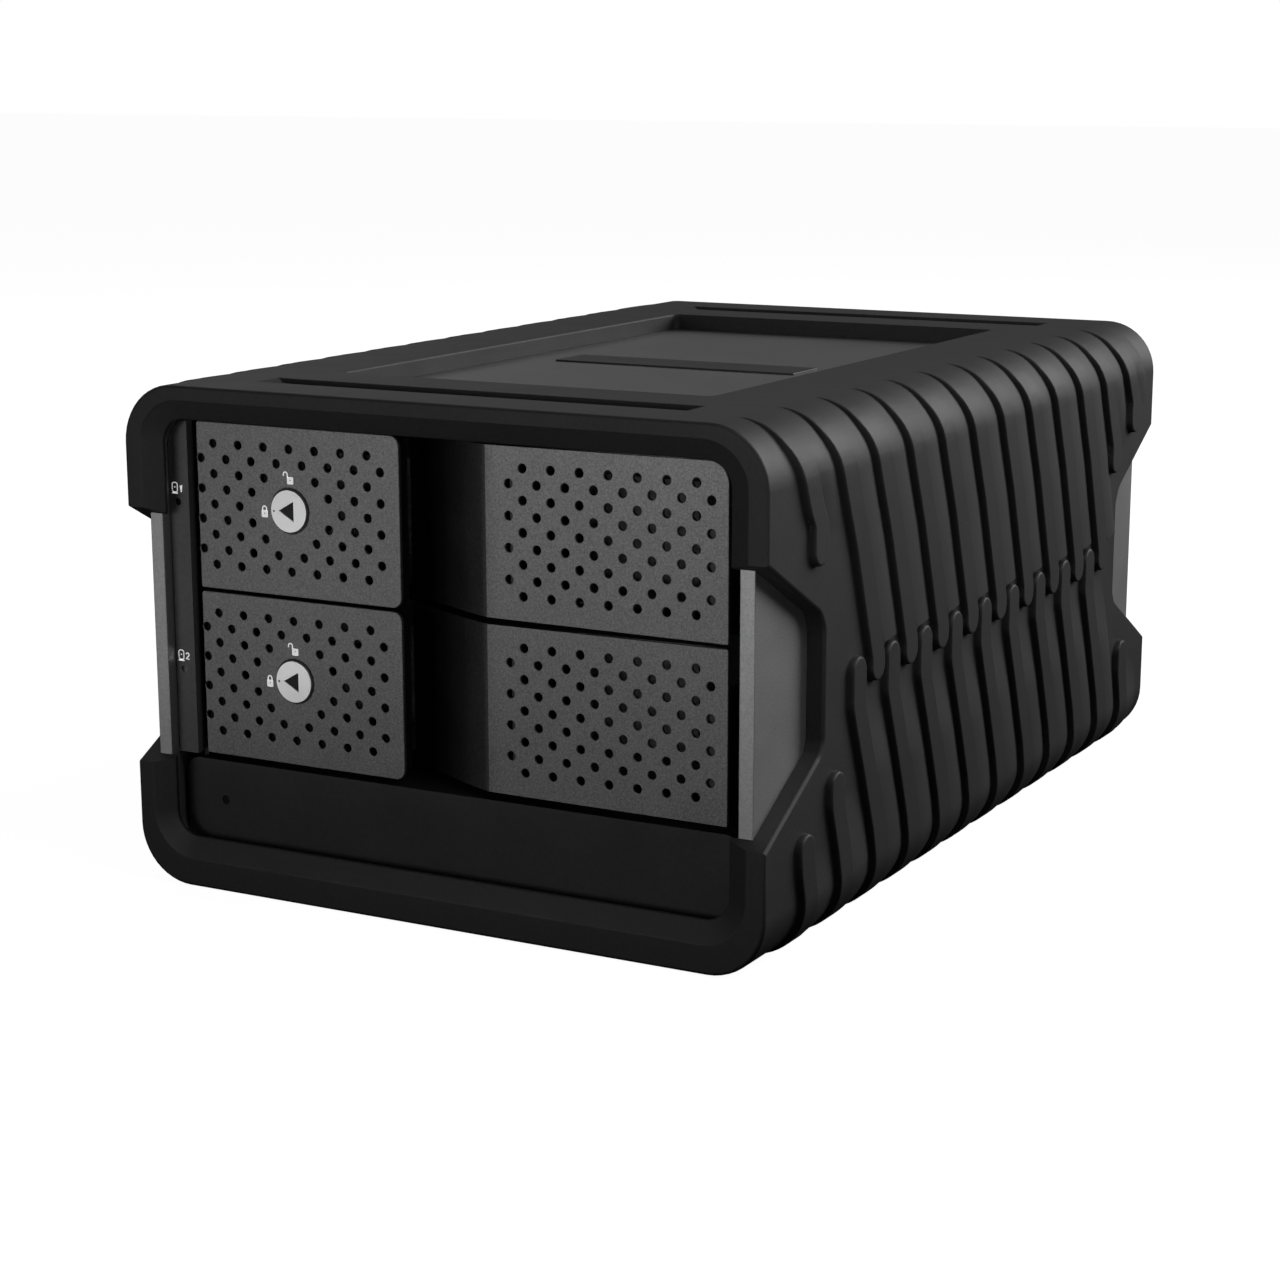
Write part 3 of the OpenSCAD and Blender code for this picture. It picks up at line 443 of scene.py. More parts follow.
def cutters():
    """Solids that cut the side notches, the top window and the two cross slots."""
    solids = []
    # side notches: a polygon in Y and Z
    for s in (-1, 1):
        ay = HALF_LENGTH
        base = [(-(ay + 6), 21.4), (-(ay - 23.0), 37.4), (-(ay - 24.4), 39.8),
                (-(ay - 24.4), 61.0), (-(ay - 22.6), 64.2), (-(ay + 6), 79.7)]
        poly = fillet_poly(base, [0, 3.0, 2.5, 4.0, 5.0, 0])
        if s > 0:
            poly = [(-a, b) for a, b in poly][::-1]
        for sx in (-1, 1):
            lv = [(sx * 60.0, poly)]
            for out, grow in FLARE:
                lv.append((sx * (BW - FLARE[-1][0] + out), offset_poly(poly, grow * NOTCH_FLARE)))
            lv.append((sx * (BW + 3), offset_poly(poly, FLARE[-1][1] * NOTCH_FLARE)))
            solids.append(prism(lv, 0))
    # top window
    hw, hd, r = WINDOW
    win = rr_loop(hw, -hd, hd, r, 5)
    lv = [(H - 8, win)]
    for out, grow in FLARE:
        lv.append((H - 0.42 + out * WINDOW_FLARE, offset_poly(win, grow * WINDOW_FLARE)))
    lv.append((H + 2, offset_poly(win, 0.42)))
    solids.append(prism(lv, 2))
    # cross slots with ramped ends
    for s in (-1, 1):
        ya, yb = sorted(s * (HALF_LENGTH - y) for y in SLOT_Y)
        levels = []
        for z, half, g in ((H - 7, 39.2, 0), (H - 3.7, 39.2, 0), (H - 0.25, 46.9, 0),
                           (H - 0.08, 47.35, 0.08), (H + 0.02, 47.7, 0.3), (H + 2, 47.7, 0.3)):
            levels.append((z, [(-half, ya - g), (half, ya - g), (half, yb + g), (-half, yb + g)]))
        solids.append(prism(levels, 2))
    verts, faces = [], []
    for v, f in solids:
        k = len(verts)
        verts += v
        faces += [tuple(i + k for i in q) for q in f]
    return verts, faces


def raw_object(name, verts, faces):
    """A helper for the boolean, with its faces turned outwards."""
    me = mesh_from(name, verts, faces)
    bm = bmesh.new()
    bm.from_mesh(me)
    bmesh.ops.recalc_face_normals(bm, faces=bm.faces)
    bm.to_mesh(me)
    bm.free()
    return placed(name, me)


def build_sleeve():
    body = raw_object("tmp_body", *sleeve_body())
    cut = raw_object("tmp_cut", *cutters())
    mod = body.modifiers.new("cut", "BOOLEAN")
    mod.operation = "DIFFERENCE"
    mod.solver = "EXACT"
    mod.object = cut
    dg = bpy.context.evaluated_depsgraph_get()
    me = bpy.data.meshes.new_from_object(body.evaluated_get(dg))
    verts = [tuple(c / MM for c in v.co) for v in me.vertices]
    faces = [tuple(p.vertices) for p in me.polygons]
    for o in (body, cut):
        bpy.data.objects.remove(o)
    bpy.data.meshes.remove(me)
    ob = finish_mesh("rubber_sleeve", verts, faces, "chassis", "rubber", sharp=24)
    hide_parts("bumper")


# ---------------------------------------------------------------- ribs
PITCH, RW = 16.15, 6.4  # spacing of the ribs and width of one
RIBS = 12               # in each row
# paths of the ribs from the top and bottom edges to the middle: heights, and the shift in Y there
UP = ([102, 96.5, 93.4, 90.6, 83.6, 74, 57.8, 51.6, 45],
      [0, 0, 1.3, 2.4, 5.4, 9.6, 15.4, 17.6, 17.7])
LO = ([-1, 7.4, 11.9, 17, 29.9, 39.5, 44.0, 56],
      [0.2, 0, -0.5, -1.8, -6.7, -10.6, -12.4, -12.5])
# ribs that stop short: index, height and shift where the path turns upright, height of the tip
UP_SHORT = {0: (81, 7.3, 73.4), 10: (75, 9.2, 68.6), 11: (84, 6, 76.6)}
LO_SHORT = {0: (20, -2.2, 24.6), 1: (27, -5.2, 33.4), 11: (20, -2.6, 27.4)}
UP_TIP, LO_TIP = 47.0, 53.6
SHORT_END = 3  # how far a short rib's path is drawn past its tip
# the slope behind a rib fades in between these distances from its tip
UP_TAIL, UP_SHORT_TAIL = (6.7, 7.2), (3.4, 22.0)
LO_TAIL, LO_SHORT_TAIL = (5.0, 26.0), (3.4, 24.0)


def path_table(zs, dys):
    """Shift of a rib over an even run of heights, with the corners of its path smoothed."""
    o = np.argsort(zs)
    z = np.array(zs, float)[o]
    d = np.array(dys, float)[o]
    g = np.arange(-2, 103.01, 0.25)
    v = np.interp(g, z, d)
    k = np.ones(9) / 9
    pad = np.pad(v, 4, mode="edge")
    return g, np.convolve(pad, k, mode="valid")


def rib_row(first_y, path, tip, short, up, tail, short_tail):
    ribs = []
    side = 1 if up else -1  # +1 for ribs that come down from the top
    for i in range(RIBS):
        zs, ds, end = list(path[0]), list(path[1]), tip
        if i in short:
            zc, dy, end = short[i]
            keep = [(z, d) for z, d in zip(zs, ds) if (z - zc) * side > 1]
            zs = [k[0] for k in keep] + [zc, end - side * SHORT_END]
            ds = [k[1] for k in keep] + [dy, dy]
        ribs.append({"y": first_y + i * PITCH, "tip": end, "up": up, "path": path_table(zs, ds),
                     "tail": short_tail if i in short else tail})
    return ribs


def make_ribs():
    return (rib_row(YP + 3.5, UP, UP_TIP, UP_SHORT, True, UP_TAIL, UP_SHORT_TAIL)
            + rib_row(YP + 8.7, LO, LO_TIP, LO_SHORT, False, LO_TAIL, LO_SHORT_TAIL))


WALL_D = [0.0, 0.12, 0.22, 0.38, 0.62]            # distance in from a rib's edge
WALL_H = [0.0, 0.66, 0.86, 0.965, 1.0]            # and its height there, as a part of RIB
DROP_U = [0.0, 0.1, 0.25, 0.42, 0.6, 0.8, 1.0]    # places across the rear slope


def drop(u):
    """Rear slope of a rib, from its flat top down to the foot of the next one."""
    return 1.0 - 0.35 * u - 0.65 * u * u


def rib_height(rb, y, z):
    """Height of one rib and of the slope behind it at points (y, z), from 0 to 1."""
    g, v = rb["path"]
    D = y - rb["y"] - np.interp(z, g, v)  # distance behind the rib's front edge
    s = 1.0 if rb["up"] else -1.0
    r = RW / 2
    zc = rb["tip"] + s * r
    beyond = (z - zc) * s < 0
    inside = np.where(beyond, r - np.hypot(D - r, z - zc), np.minimum(D, RW - D))
    finger = np.interp(inside, WALL_D, WALL_H, left=0.0, right=1.0)
    u = np.clip((D - RW) / (PITCH - RW), 0, 1)
    front = np.interp(D, WALL_D, WALL_H, left=0.0, right=1.0)
    tail = np.where(D < RW, front, drop(u))
    ta, tb = rb["tail"]
    t = np.clip(((z - rb["tip"]) * s - ta) / (tb - ta), 0, 1)
    return np.maximum(finger, tail * t * t * (3 - 2 * t))


def skin(s):
    """Point and outward normal of the sleeve's side in X and Z, at a length s round it.

    s starts where the top's flat part meets the top corner."""
    q = CR * math.pi / 2
    st = H - 2 * CR
    x, z, nx, nz = (np.zeros_like(s) for _ in range(4))
    a = s < q
    t = s / CR
    x[a], z[a] = (BW - CR + CR * np.sin(t[a])), (H - CR + CR * np.cos(t[a]))
    nx[a], nz[a] = np.sin(t[a]), np.cos(t[a])
    b = (s >= q) & (s <= q + st)
    x[b], z[b], nx[b], nz[b] = BW, H - CR - (s[b] - q), 1.0, 0.0
    c = s > q + st
    t2 = (s - q - st) / CR
    x[c], z[c] = (BW - CR + CR * np.cos(t2[c])), (CR - CR * np.sin(t2[c]))
    nx[c], nz[c] = np.cos(t2[c]), -np.sin(t2[c])
    return x, z, nx, nz


def s_of_z(z):
    """The same s for a height."""
    q = CR * math.pi / 2
    if z > H - CR:
        return CR * math.acos(min(1, (z - (H - CR)) / CR))
    if z < CR:
        return q + (H - 2 * CR) + CR * math.asin(min(1, (CR - z) / CR))
    return q + (H - CR - z)


SKIN_SINK = 1.2      # how far the ribs' underside lies inside the sleeve
TOP_SINK = 0.04      # the relief starts this far under the sleeve's surface
LOWEST = 0.012       # triangles that stay under this part of a rib's height are left out
RIB_Y0, RIB_Y1 = YP + 2.0, HALF_LENGTH - 0.9  # the ribs' field


def rib_lines(ribs):
    """Lines that the triangles have to follow: rib walls, their round ends and the rear slopes."""
    pts, edges = [], []

    def chain(ps):
        k = len(pts)
        pts.extend(ps)
        edges.extend((k + i, k + i + 1) for i in range(len(ps) - 1))

    turns = np.arange(6, 90, 6)
    z_top = [H - CR + CR * math.cos(math.radians(a)) for a in turns]
    z_bottom = [CR - CR * math.sin(math.radians(a)) for a in turns]
    z_middle = list(np.arange(H - CR, CR - 0.1, -1.3))
    levels = np.array(sorted(set([round(v, 4) for v in z_top + z_bottom + z_middle])))
    for rb in ribs:
        g, v = rb["path"]
        s = 1 if rb["up"] else -1
        r = RW / 2
        zc = rb["tip"] + s * r
        zz = levels[(levels - zc) * s > 0.2]
        zz = zz[np.argsort(-zz * s)]
        zz = np.append(zz, zc)
        W = np.interp(zz, g, v) + rb["y"]
        for d in WALL_D:
            ps = [(w + d, s_of_z(z)) for w, z in zip(W, zz)]
            for k in range(1, 16):
                a = math.pi * k / 16
                yy = r - (r - d) * math.cos(a)
                z = zc - s * (r - d) * math.sin(a)
                ps.append((np.interp(z, g, v) + rb["y"] + yy, s_of_z(z)))
            ps += [(w + RW - d, s_of_z(z)) for w, z in zip(W[::-1], zz[::-1])]
            chain(ps)
        ta, tb = (rb["tip"] + s * t for t in rb["tail"])
        steps = [ta + (tb - ta) * k / 4 for k in range(5)]
        z_tail = np.array([z for z in zz if (z - tb) * s > 0.1] + steps[::-1])
        w_tail = np.interp(z_tail, g, v) + rb["y"] + RW
        for u in DROP_U:
            chain([(w + (PITCH - RW) * u, s_of_z(z)) for w, z in zip(w_tail, z_tail)])
        for z in steps:
            w = float(np.interp(z, g, v)) + rb["y"] + RW
            chain([(w + (PITCH - RW) * u, s_of_z(z)) for u in DROP_U])
    for z in levels[::2]:
        chain([(y, s_of_z(z)) for y in np.arange(RIB_Y0, RIB_Y1, 5.0)])
    return [Vector((min(max(p[0], RIB_Y0), RIB_Y1), p[1])) for p in pts], edges


def build_ribs():
    ribs = make_ribs()
    co, edges = rib_lines(ribs)
    out = delaunay_2d_cdt(co, edges, [], 0, 1e-4)
    v2 = np.array([tuple(v) for v in out[0]])
    tri = np.array([tuple(f) for f in out[2] if len(f) == 3])

    def relief(y, sv):
        """Height of the field at (y, s); it fades out over the corners and at the rear."""
        z, nx = skin(sv)[1:3]
        h = np.zeros(len(y))
        for rb in ribs:
            h = np.maximum(h, rib_height(rb, y, z))
        return h * np.clip(nx, 0, 1) ** 1.2 * np.clip((RIB_Y1 - y) / 2.0, 0, 1)

    h = relief(v2[:, 0], v2[:, 1])
    tri = tri[h[tri].max(axis=1) > LOWEST]
    # shading normals from the relief, taken just inside each triangle so that edges stay crisp
    q = v2[tri]
    q = q + 0.3 * (q.mean(axis=1, keepdims=True) - q)
    qy, qs = q[..., 0].ravel(), q[..., 1].ravel()
    e = 0.015
    hy = (relief(qy + e, qs) - relief(qy - e, qs)) / (2 * e) * RIB
    hs = (relief(qy, qs + e) - relief(qy, qs - e)) / (2 * e) * RIB
    cx, cz = skin(qs)[2:]
    nrm = np.stack([cx - hs * cz, -hy, cz + hs * cx], axis=1)
    nrm /= np.linalg.norm(nrm, axis=1, keepdims=True)
    nrm = nrm.reshape(len(tri), 3, 3)
    used = sorted(set(tri.ravel().tolist()))
    idx = {v: k for k, v in enumerate(used)}
    n = len(used)
    x, z, nx, nz = skin(v2[used, 1])
    # an edge that no second triangle walks the other way lies on the rim
    walks = dict.fromkeys((a, b) for f in tri.tolist() for a, b in zip(f, f[1:] + f[:1]))
    rims = [(idx[a], idx[b]) for a, b in walks if (b, a) not in walks]
    base = [tuple(idx[i] for i in f) for f in tri.tolist()]
    for sx, name in ((1, "ribs_right"), (-1, "ribs_left")):
        verts = []
        for lay in (h[used] * RIB - TOP_SINK, np.full(n, -SKIN_SINK)):
            verts += list(zip(sx * (x + nx * lay), v2[used, 0], z + nz * lay))
        top = [f[::-1] if sx > 0 else f for f in base]
        low = [tuple(i + n for i in f[::-1]) for f in top]
        side = [(b, a, a + n, b + n) if sx < 0 else (a, b, b + n, a + n) for a, b in rims]
        me = mesh_from(name, verts, top + low + side)
        me.polygons.foreach_set("use_smooth", [True] * len(me.polygons))
        ln = np.zeros((len(me.loops), 3))
        tn = nrm[:, ::-1] if sx > 0 else nrm
        ln[:3 * len(top)] = (tn * np.array([sx, 1, 1])).reshape(-1, 3)
        me.normals_split_custom_set([tuple(p) for p in ln])
        ob = placed(name, me)
        me.materials.append(MAT["rubber"])
        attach(ob, "chassis")


# ---------------------------------------------------------------- perforated sheets
def circle(cx, cz, r, n=20):
    turns = [2 * math.pi * k / n for k in range(n)]
    return [(cx + r * math.cos(a), cz + r * math.sin(a)) for a in turns]


def in_polygon(poly, c):
    inside = False
    j = len(poly) - 1
    for i in range(len(poly)):
        (xi, zi), (xj, zj) = poly[i], poly[j]
        if (zi > c[1]) != (zj > c[1]) and c[0] < (xj - xi) * (c[1] - zi) / (zj - zi) + xi:
            inside = not inside
        j = i
    return inside


def cdt_region(outer, holes, extra=()):
    """Triangles of a region with round holes, along any extra lines."""
    pts, edges = [], []
    for loop in [outer, *holes]:
        k = len(pts)
        pts.extend(loop)
        n = len(loop)
        edges.extend((k + i, k + (i + 1) % n) for i in range(n))
    for line in extra:
        k = len(pts)
        pts.extend(line)
        edges.extend((k + i, k + i + 1) for i in range(len(line) - 1))
    out = delaunay_2d_cdt([Vector(p) for p in pts], edges, [], 0, 1e-5)
    v = [tuple(p) for p in out[0]]
    o = np.array(outer)
    hc = np.array([np.mean(h, axis=0) for h in holes]).reshape(-1, 2)
    hr = np.array([np.hypot(*(np.array(h[0]) - np.mean(h, axis=0))) for h in holes])
    keep = []
    for f in out[2]:
        c = np.mean([v[i] for i in f], axis=0)
        if (np.hypot(hc[:, 0] - c[0], hc[:, 1] - c[1]) < hr * 0.97).any():
            continue
        if in_polygon(o, c):
            keep.append(tuple(f))
    return v, keep


def sheet_panel(name, outline, holes, to3d, t, b, body, slot, lines=()):
    """A sheet of thickness t with edges rounded by b, as a piece.

    outline(inset) gives its edge, holes are (x, z, r), and to3d(u, z, depth) places a point."""
    verts, faces = [], []

    def layer(inset, grow, depth, flip):
        rims = [circle(x, z, r + grow) for x, z, r in holes]
        v, f = cdt_region(outline(inset), rims, lines)
        k = len(verts)
        verts.extend(to3d(u, z, depth) for u, z in v)
        faces.extend(tuple(i + k for i in (q[::-1] if flip else q)) for q in f)

    layer(b, b, 0.0, False)
    layer(0.0, 0.0, t, True)
    steps = [(b, 0.0), (b * 0.3, b * 0.3), (0.0, b), (0.0, t)]
    rings = [[(outline(i), d) for i, d in steps]]
    for x, z, r in holes:
        rings.append([(circle(x, z, r + i), d) for i, d in steps])
    for ring in rings:
        n = len(ring[0][0])
        k = len(verts)
        for loop, d in ring:
            verts.extend(to3d(u, z, d) for u, z in loop)
        for j in range(len(ring) - 1):
            bridge(faces, k + j * n, k + (j + 1) * n, n)
    return finish_mesh(name, verts, faces, body, slot, sharp=14)


HOLE_STEP, HOLE_R = 3.0, 0.85  # half the hole spacing, and the holes' radius
LOCK_HOLE_R = 4.5
SHEET_BEVEL = 0.14
LEVER_SHEET, FRONT_SHEET = 0.8, 0.79  # thicknesses


def hole_grid(x0, zc, skip):
    """Staggered holes in nine rows; skip leaves out the ones round the lock."""
    out = []
    for j in range(9):
        last = 12 + (j % 2)
        for i in range(-(j % 2), last + 1, 2):
            if skip and abs(i - 6) + abs(j - 4) <= 2:
                continue
            out.append((x0 + i * HOLE_STEP, zc + (4 - j) * HOLE_STEP, HOLE_R))
    return out


def panel_outline(x0, x1, z0, z1, radii, n=6):
    """radii: bottom left, bottom right, top right, top left."""
    def f(inset):
        pts = []
        cs = ((x0, z0, 180, 1, 1), (x1, z0, 270, -1, 1), (x1, z1, 0, -1, -1), (x0, z1, 90, 1, -1))
        for (cx, cz, a0, sx, sz), r in zip(cs, radii):
            rr = max(r - inset, 0.02)
            ox, oz = cx + sx * (inset + rr), cz + sz * (inset + rr)
            for k in range(n + 1):
                a = math.radians(a0 + 90 * k / n)
                pts.append((ox + rr * math.cos(a), oz + rr * math.sin(a)))
        return pts
    return f


BEND_X = 9.1       # where the right-hand sheet leaves its flat part
BEND_END_U = 12.8  # bend lines end here, short of the first holes


def flank_path():
    """Front of the right-hand sheet from above: flat, then the curve into the finger recess."""
    ctrl = [(BEND_X, 0.0), (3.0, 2.6), (-1.8, 5.3), (-6.3, 7.7), (-11.2, 9.9), (-14.7, 11.2)]
    fine = []
    for (xa, ya), (xb, yb) in zip(ctrl, ctrl[1:]):
        for k in range(8):
            fine.append((xa + (xb - xa) * k / 8, ya + (yb - ya) * k / 8))
    fine.append(ctrl[-1])
    p = np.array([(BEND_X + 6 - 0.75 * k, 0.0) for k in range(8)] + fine)
    q = p.copy()
    for _ in range(2):
        q[1:-1] = (q[:-2] + 2 * q[1:-1] + q[2:]) / 4
    return q


def build_panels():
    path = flank_path()
    seg = np.r_[0, np.cumsum(np.hypot(*np.diff(path, axis=0).T))]
    u0 = path[0, 0]
    us = u0 - seg  # decreasing from the flat part into the recess

    def at(k):
        return np.interp(k, seg, path[:, 0]), np.interp(k, seg, path[:, 1])

    def on_path(u, z, depth):
        if u >= u0:
            return (u, YP + depth, z)
        k = u0 - u
        x, y = at(k)
        e = 0.4
        xa, ya = at(k - e)
        xb, yb = at(k + e)
        if k < e:
            xa, ya = u + e, 0.0
        tx, ty = xb - xa, yb - ya
        ln = math.hypot(tx, ty) or 1.0
        nx, ny = ty / ln, -tx / ln
        if ny < 0:
            nx, ny = -nx, -ny
        return (x + nx * depth, YP + y + ny * depth, z)

    for tier in ("upper", "lower"):
        lo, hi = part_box("lever_" + tier)
        z0, z1 = lo.z / MM, hi.z / MM
        zc = z0 + 16.9  # middle row of holes
        x0, x1 = lo.x / MM, hi.x / MM
        holes = hole_grid(x0 + 3.93, zc, True)
        holes.append((x0 + 21.93, zc, LOCK_HOLE_R))
        ob = sheet_panel("lever_sheet_" + tier,
                         panel_outline(x0, x1, z0, z1, (0.5, 2.0, 2.0, 0.5)), holes,
                         lambda u, z, d: (u, YP + d, z), LEVER_SHEET, SHEET_BEVEL,
                         "lever_" + tier, "panel_aluminium")
        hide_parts("lever_" + tier)
        x1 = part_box("tray_front_" + tier)[1].x / MM
        r = 4.0 if tier == "upper" else 0.4  # only the upper right corner is round
        lines = [[(u, z0 + 0.3), (u, z1 - 0.3)] for u in us[::2][1:-1] if u < BEND_END_U]
        ob = sheet_panel("front_sheet_" + tier,
                         panel_outline(us[-1], x1, z0, z1, (0.3, 0.4, r, 0.3)),
                         hole_grid(17.13, zc, False), on_path, FRONT_SHEET, SHEET_BEVEL,
                         "tray_" + tier, "panel_aluminium", lines)
        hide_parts("tray_front_" + tier)


# ---------------------------------------------------------------- printed marks
PRINT_HOLE_STEPS = 12


def band(line, w, closed=False):
    """Outline of a stroke of width w along a line; a closed one comes back as one seamed loop."""
    n = len(line)
    left, right = [], []
    for i in range(n):
        p = Vector(line[i])
        a = Vector(line[i - 1]) if (closed or i) else p
        b = Vector(line[(i + 1) % n]) if (closed or i < n - 1) else p
        d = (b - a).normalized()
        k = 1.0
        if (p - a).length > 1e-9 and (b - p).length > 1e-9:
            k = 1.0 / max(0.35, (p - a).normalized().dot(d))
        o = Vector((-d.y, d.x)) * (w / 2 * k)
        left.append(tuple(p + o))
        right.append(tuple(p - o))
    if closed:
        return left + [left[0], right[0]] + right[:0:-1]
    return left + right[::-1]


def print_piece(name, shapes, y, body, slot, material, lift=0.03, sink=0.05):
    """Flat marks standing a hair proud of the surface at y; shapes are (outline, round holes)."""
    verts, faces = [], []
    for outline, holes in shapes:
        rings = [circle(x, z, r, PRINT_HOLE_STEPS) for x, z, r in holes]
        v, f = cdt_region(outline, rings)
        for dy, flip in ((-lift, False), (sink, True)):
            k = len(verts)
            verts.extend((a, y + dy, b) for a, b in v)
            faces.extend(tuple(i + k for i in (q[::-1] if flip else q)) for q in f)
        k0, k1 = len(verts) - 2 * len(v), len(verts) - len(v)
        rim = {(a, b) for q in f for a, b in zip(q, q[1:] + q[:1])}
        faces.extend((a + k0, b + k0, b + k1, a + k1) for a, b in sorted(rim) if (b, a) not in rim)
    return finish_mesh(name, verts, faces, body, slot, material, sharp=20, weighted=False)


def arc(cx, cz, r, a0, a1, n=8):
    turns = [math.radians(a0 + (a1 - a0) * k / n) for k in range(n + 1)]
    return [(cx + r * math.cos(a), cz + r * math.sin(a)) for a in turns]


def padlock(x, z, shackle_x, lift_z):
    """A padlock sign; it is open when its shackle is lifted and moved aside."""
    w, h = 0.72, 0.70
    body = panel_outline(x - w, x + w, z - h, z + h, (0.16,) * 4, 3)(0)
    top = z + h + lift_z
    leg = 0.46
    bow = [(shackle_x - leg, top - (0.0 if lift_z else 0.05))]
    bow += arc(shackle_x, top + 0.35, leg, 180, 0) + [(shackle_x + leg, z + h - 0.1)]
    return [(body, [(x, z + 0.08, 0.17)]), (band(bow, 0.26), [])]


def strip_mark(x, z, digit):
    """A disk sign with the bay's digit beside it."""
    out = panel_outline(x - 0.62, x + 0.62, z - 0.95, z + 0.95, (0.45,) * 4, 4)(0)
    shapes = [(band(out, 0.2, True), []), (circle(x, z + 0.05, 0.16, 12), []),
              (panel_outline(x - 0.72, x + 0.72, z - 1.28, z - 1.0, (0.08,) * 4, 2)(0), [])]
    dx, zz = x + 1.55, z - 0.2
    if digit == 1:
        line = [(dx - 0.3, zz + 0.42), (dx, zz + 0.68), (dx, zz - 0.7)]
    else:
        line = [(dx - 0.36, zz + 0.38)] + arc(dx, zz + 0.32, 0.36, 160, -30, 6)[1:]
        line += [(dx - 0.36, zz - 0.56), (dx + 0.42, zz - 0.56)]
    return shapes + [(band(line, 0.24), [])]


STATUS_X, STATUS_R = -61.4, 0.7  # the status lights' centre line and radius


def build_prints():
    bay_step = (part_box("lever_upper")[0].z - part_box("lever_lower")[0].z) / MM
    strip_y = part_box("status_strip")[0].y / MM
    for k, tier in enumerate(("upper", "lower")):
        lo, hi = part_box("lock_" + tier)
        lx, lz, ly = (lo.x + hi.x) / 2 / MM, (lo.z + hi.z) / 2 / MM, lo.y / MM
        lever, lock = "lever_" + tier, "lock_" + tier
        opened = padlock(lx + 0.25, lz + 5.95, lx - 0.85, 0.12)
        closed = padlock(lx - 6.0, lz - 0.95, lx - 6.0, 0.0)
        print_piece("padlock_marks_" + tier, opened + closed, YP, lever,
                    "panel_aluminium", "white_print")
        # a near-black floor inside each lock's triangular key socket, as painted shade
        tri = [(lx - 2.8, lz), (lx + 1.15, lz - 2.35), (lx + 1.15, lz + 2.35)]
        print_piece("socket_floor_" + tier, [(tri, [])], ly + 0.55, lock,
                    "lock_metal", "painted_socket_shade", lift=0.25, sink=0.2)
        dot = circle(lx - 3.45, lz - 0.15, 0.22, 14)
        print_piece("lock_dot_" + tier, [(dot, [])], ly, lock,
                    "lock_metal", "grey_print", lift=0.02)
        light_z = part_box("status_leds")[1].z / MM - STATUS_R - k * bay_step
        print_piece("drive_mark_" + tier, strip_mark(STATUS_X - 0.65, light_z + 2.85, k + 1),
                    strip_y, "chassis", "strip_plastic", "white_print")


def soften(node, width):
    """Rounds the edges of a CAD node with modifiers; its own mesh stays as packed."""
    o = NODES[node]
    w = o.modifiers.new("weld", "WELD")
    w.merge_threshold = 1e-6
    d = o.modifiers.new("flat", "DECIMATE")
    d.decimate_type = "DISSOLVE"
    d.angle_limit = math.radians(0.5)
    b = o.modifiers.new("round", "BEVEL")
    b.width = width * MM
    b.segments = 2
    b.limit_method = "ANGLE"
    b.angle_limit = math.radians(40)
    b.use_clamp_overlap = True
    n = o.modifiers.new("normals", "WEIGHTED_NORMAL")
    n.keep_sharp = True


build_sleeve()
build_ribs()
build_panels()
build_prints()
for part in ("tube", "front_bezel", "status_strip", "power_rocker", "rocker_housing",
             "mode_dial", "set_button"):
    soften(part, 0.18)
soften("top_badge", 0.06)

# ---------------------------------------------------------------- studio
SENSOR = 36.0            # millimetres
FOCAL = 2706.0 / 1280    # focal length in picture widths
CAMERA_AT = (270.48, -522.82, 162.57)
CAMERA_TURN, CAMERA_RISE = 28.194, 12.914  # degrees from the front to the right, and above level


def direction(turn, rise):
    """Unit vector away from the object: turn from the front to the right, rise above level."""
    t, r = math.radians(turn), math.radians(rise)
    return Vector((math.sin(t) * math.cos(r), -math.cos(t) * math.cos(r), math.sin(r)))


cam = bpy.data.cameras.new("camera")
cam.sensor_width = SENSOR
cam.lens = FOCAL * SENSOR
cam.shift_x, cam.shift_y = -0.00866, 0.0303
cam.clip_start, cam.clip_end = 0.01, 50
eye = placed("camera", cam)
eye.rotation_mode = "QUATERNION"
eye.location = Vector(CAMERA_AT) * MM
eye.rotation_quaternion = (-direction(CAMERA_TURN, CAMERA_RISE)).to_track_quat("-Z", "Y")
scene.camera = eye

FLOOR_HALF = 6.0      # metres
FLOOR_GLOW = 0.96     # keeps the floor as pale as the photo's background


def pale_floor():
    h = FLOOR_HALF
    me = bpy.data.meshes.new("floor")
    me.from_pydata([(-h, -h, 0), (h, -h, 0), (h, h, 0), (-h, h, 0)], [], [(0, 1, 2, 3)])
    ob = placed("floor", me)
    ob.location.z = -0.0002
    m, nt, b, vec = mat_base("floor_paper")
    tone = ramp(nt, noise(nt, vec, 30, 2), [(0.3, 0.22), (0.7, 0.24)])
    nt.links.new(tone, b.inputs["Base Color"])
    b.inputs["Roughness"].default_value = 0.9
    b.inputs["Specular IOR Level"].default_value = 0.1
    b.inputs["Emission Color"].default_value = (1, 1, 1, 1)
    b.inputs["Emission Strength"].default_value = FLOOR_GLOW
    me.materials.append(m)
    ob.visible_diffuse = False
    ob.visible_glossy = False
    return ob


fo = pale_floor()

world = bpy.data.worlds.new("studio")
scene.world = world
world.use_nodes = True
wn = world.node_tree
bg = next(n for n in wn.nodes if n.type == "BACKGROUND")
lp = wn.nodes.new("ShaderNodeLightPath")
tc = wn.nodes.new("ShaderNodeTexCoord")
sep = wn.nodes.new("ShaderNodeSeparateXYZ")
wn.links.new(tc.outputs["Generated"], sep.inputs["Vector"])


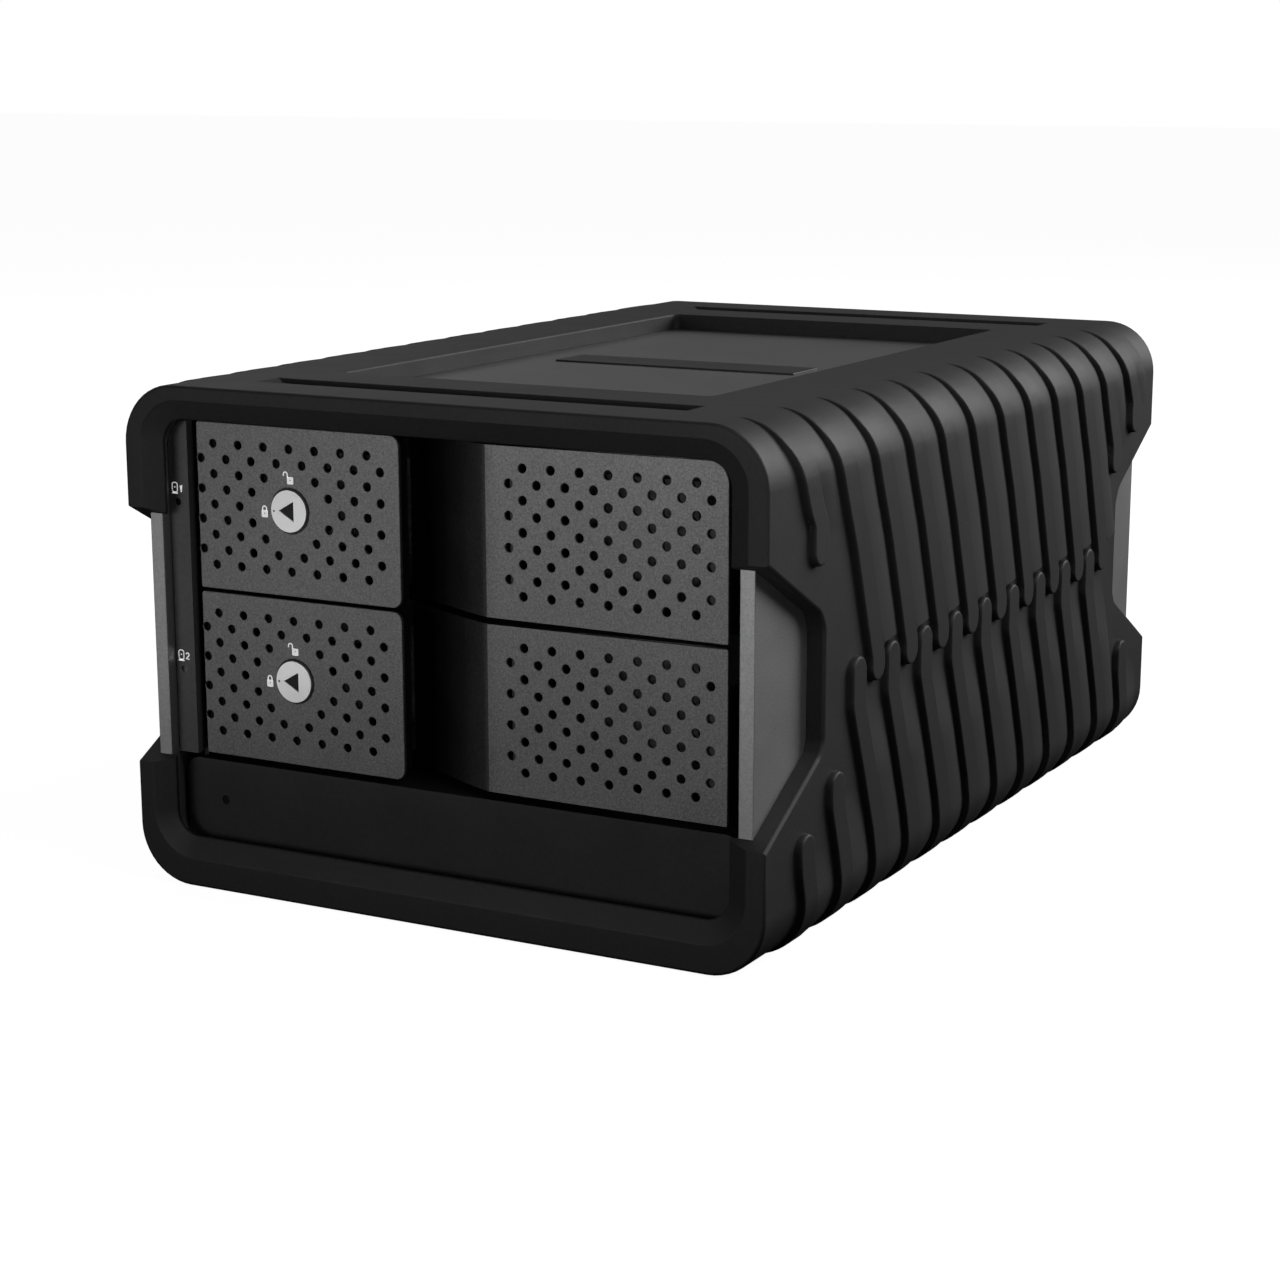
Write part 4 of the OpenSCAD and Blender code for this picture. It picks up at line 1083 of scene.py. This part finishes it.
def sky(axis, lo, hi, a, b):
    """Brightness of the studio's dim surroundings along one axis."""
    r = wn.nodes.new("ShaderNodeMapRange")
    for key, val in (("From Min", lo), ("From Max", hi), ("To Min", a), ("To Max", b)):
        r.inputs[key].default_value = val
    wn.links.new(sep.outputs[axis], r.inputs["Value"])
    return r.outputs["Result"]


lvl = wn.nodes.new("ShaderNodeMath")
lvl.operation = "MULTIPLY"
wn.links.new(sky("Z", -0.15, 0.3, 0.05, 1.0), lvl.inputs[0])
wn.links.new(sky("Y", -0.2, 0.7, 0.03, 0.09), lvl.inputs[1])
see = wn.nodes.new("ShaderNodeMix")
see.data_type = "FLOAT"
wn.links.new(lp.outputs["Is Camera Ray"], see.inputs["Factor"])
wn.links.new(lvl.outputs["Value"], see.inputs["A"])
see.inputs["B"].default_value = 1.0
bg.inputs["Color"].default_value = (1, 1, 1, 1)
wn.links.new(see.outputs["Result"], bg.inputs["Strength"])


def area(name, loc, target, size, power):
    """A rectangular light the camera does not see; places and sizes in metres, power in watts."""
    d = bpy.data.lights.new(name, "AREA")
    d.shape = "RECTANGLE"
    d.size, d.size_y = size
    d.energy = power
    o = placed(name, d)
    o.location = loc
    o.rotation_mode = "QUATERNION"
    o.rotation_quaternion = (Vector(target) - Vector(loc)).to_track_quat("-Z", "Y")
    o.visible_camera = False
    return o


AIM = Vector((0, 0, 0.06))  # the soft boxes look at the middle of the object


def softbox(name, turn, rise, away, size, power):
    return area(name, AIM + away * direction(turn, rise), AIM, size, power)


softbox("back_right", 140, 25, 1.2, (0.8, 0.7), 10.8)
softbox("right_near", 66, 48, 0.38, (0.2, 0.2), 0.42)
softbox("front_low", -15, 5, 0.9, (0.35, 0.25), 1.2)
softbox("back_left", -150, 30, 1.3, (0.8, 0.6), 0.2)
softbox("left_side", -120, 35, 1.2, (0.8, 0.6), 1.1)
area("floor_glow", (0.30, -0.35, 0.004), (0.30, -0.35, 1.0), (0.4, 0.4), 0.5)
# a strip on the floor, turned to lie where the locks' faces mirror it to the camera
glint = area("lock_glint", (-0.225, -0.362, 0.003), (-0.225, -0.362, 1.0), (0.07, 0.34), 0.1)
glint.rotation_quaternion = Euler((math.pi, 0, math.radians(-36))).to_quaternion()
scene.view_settings.view_transform = "Standard"
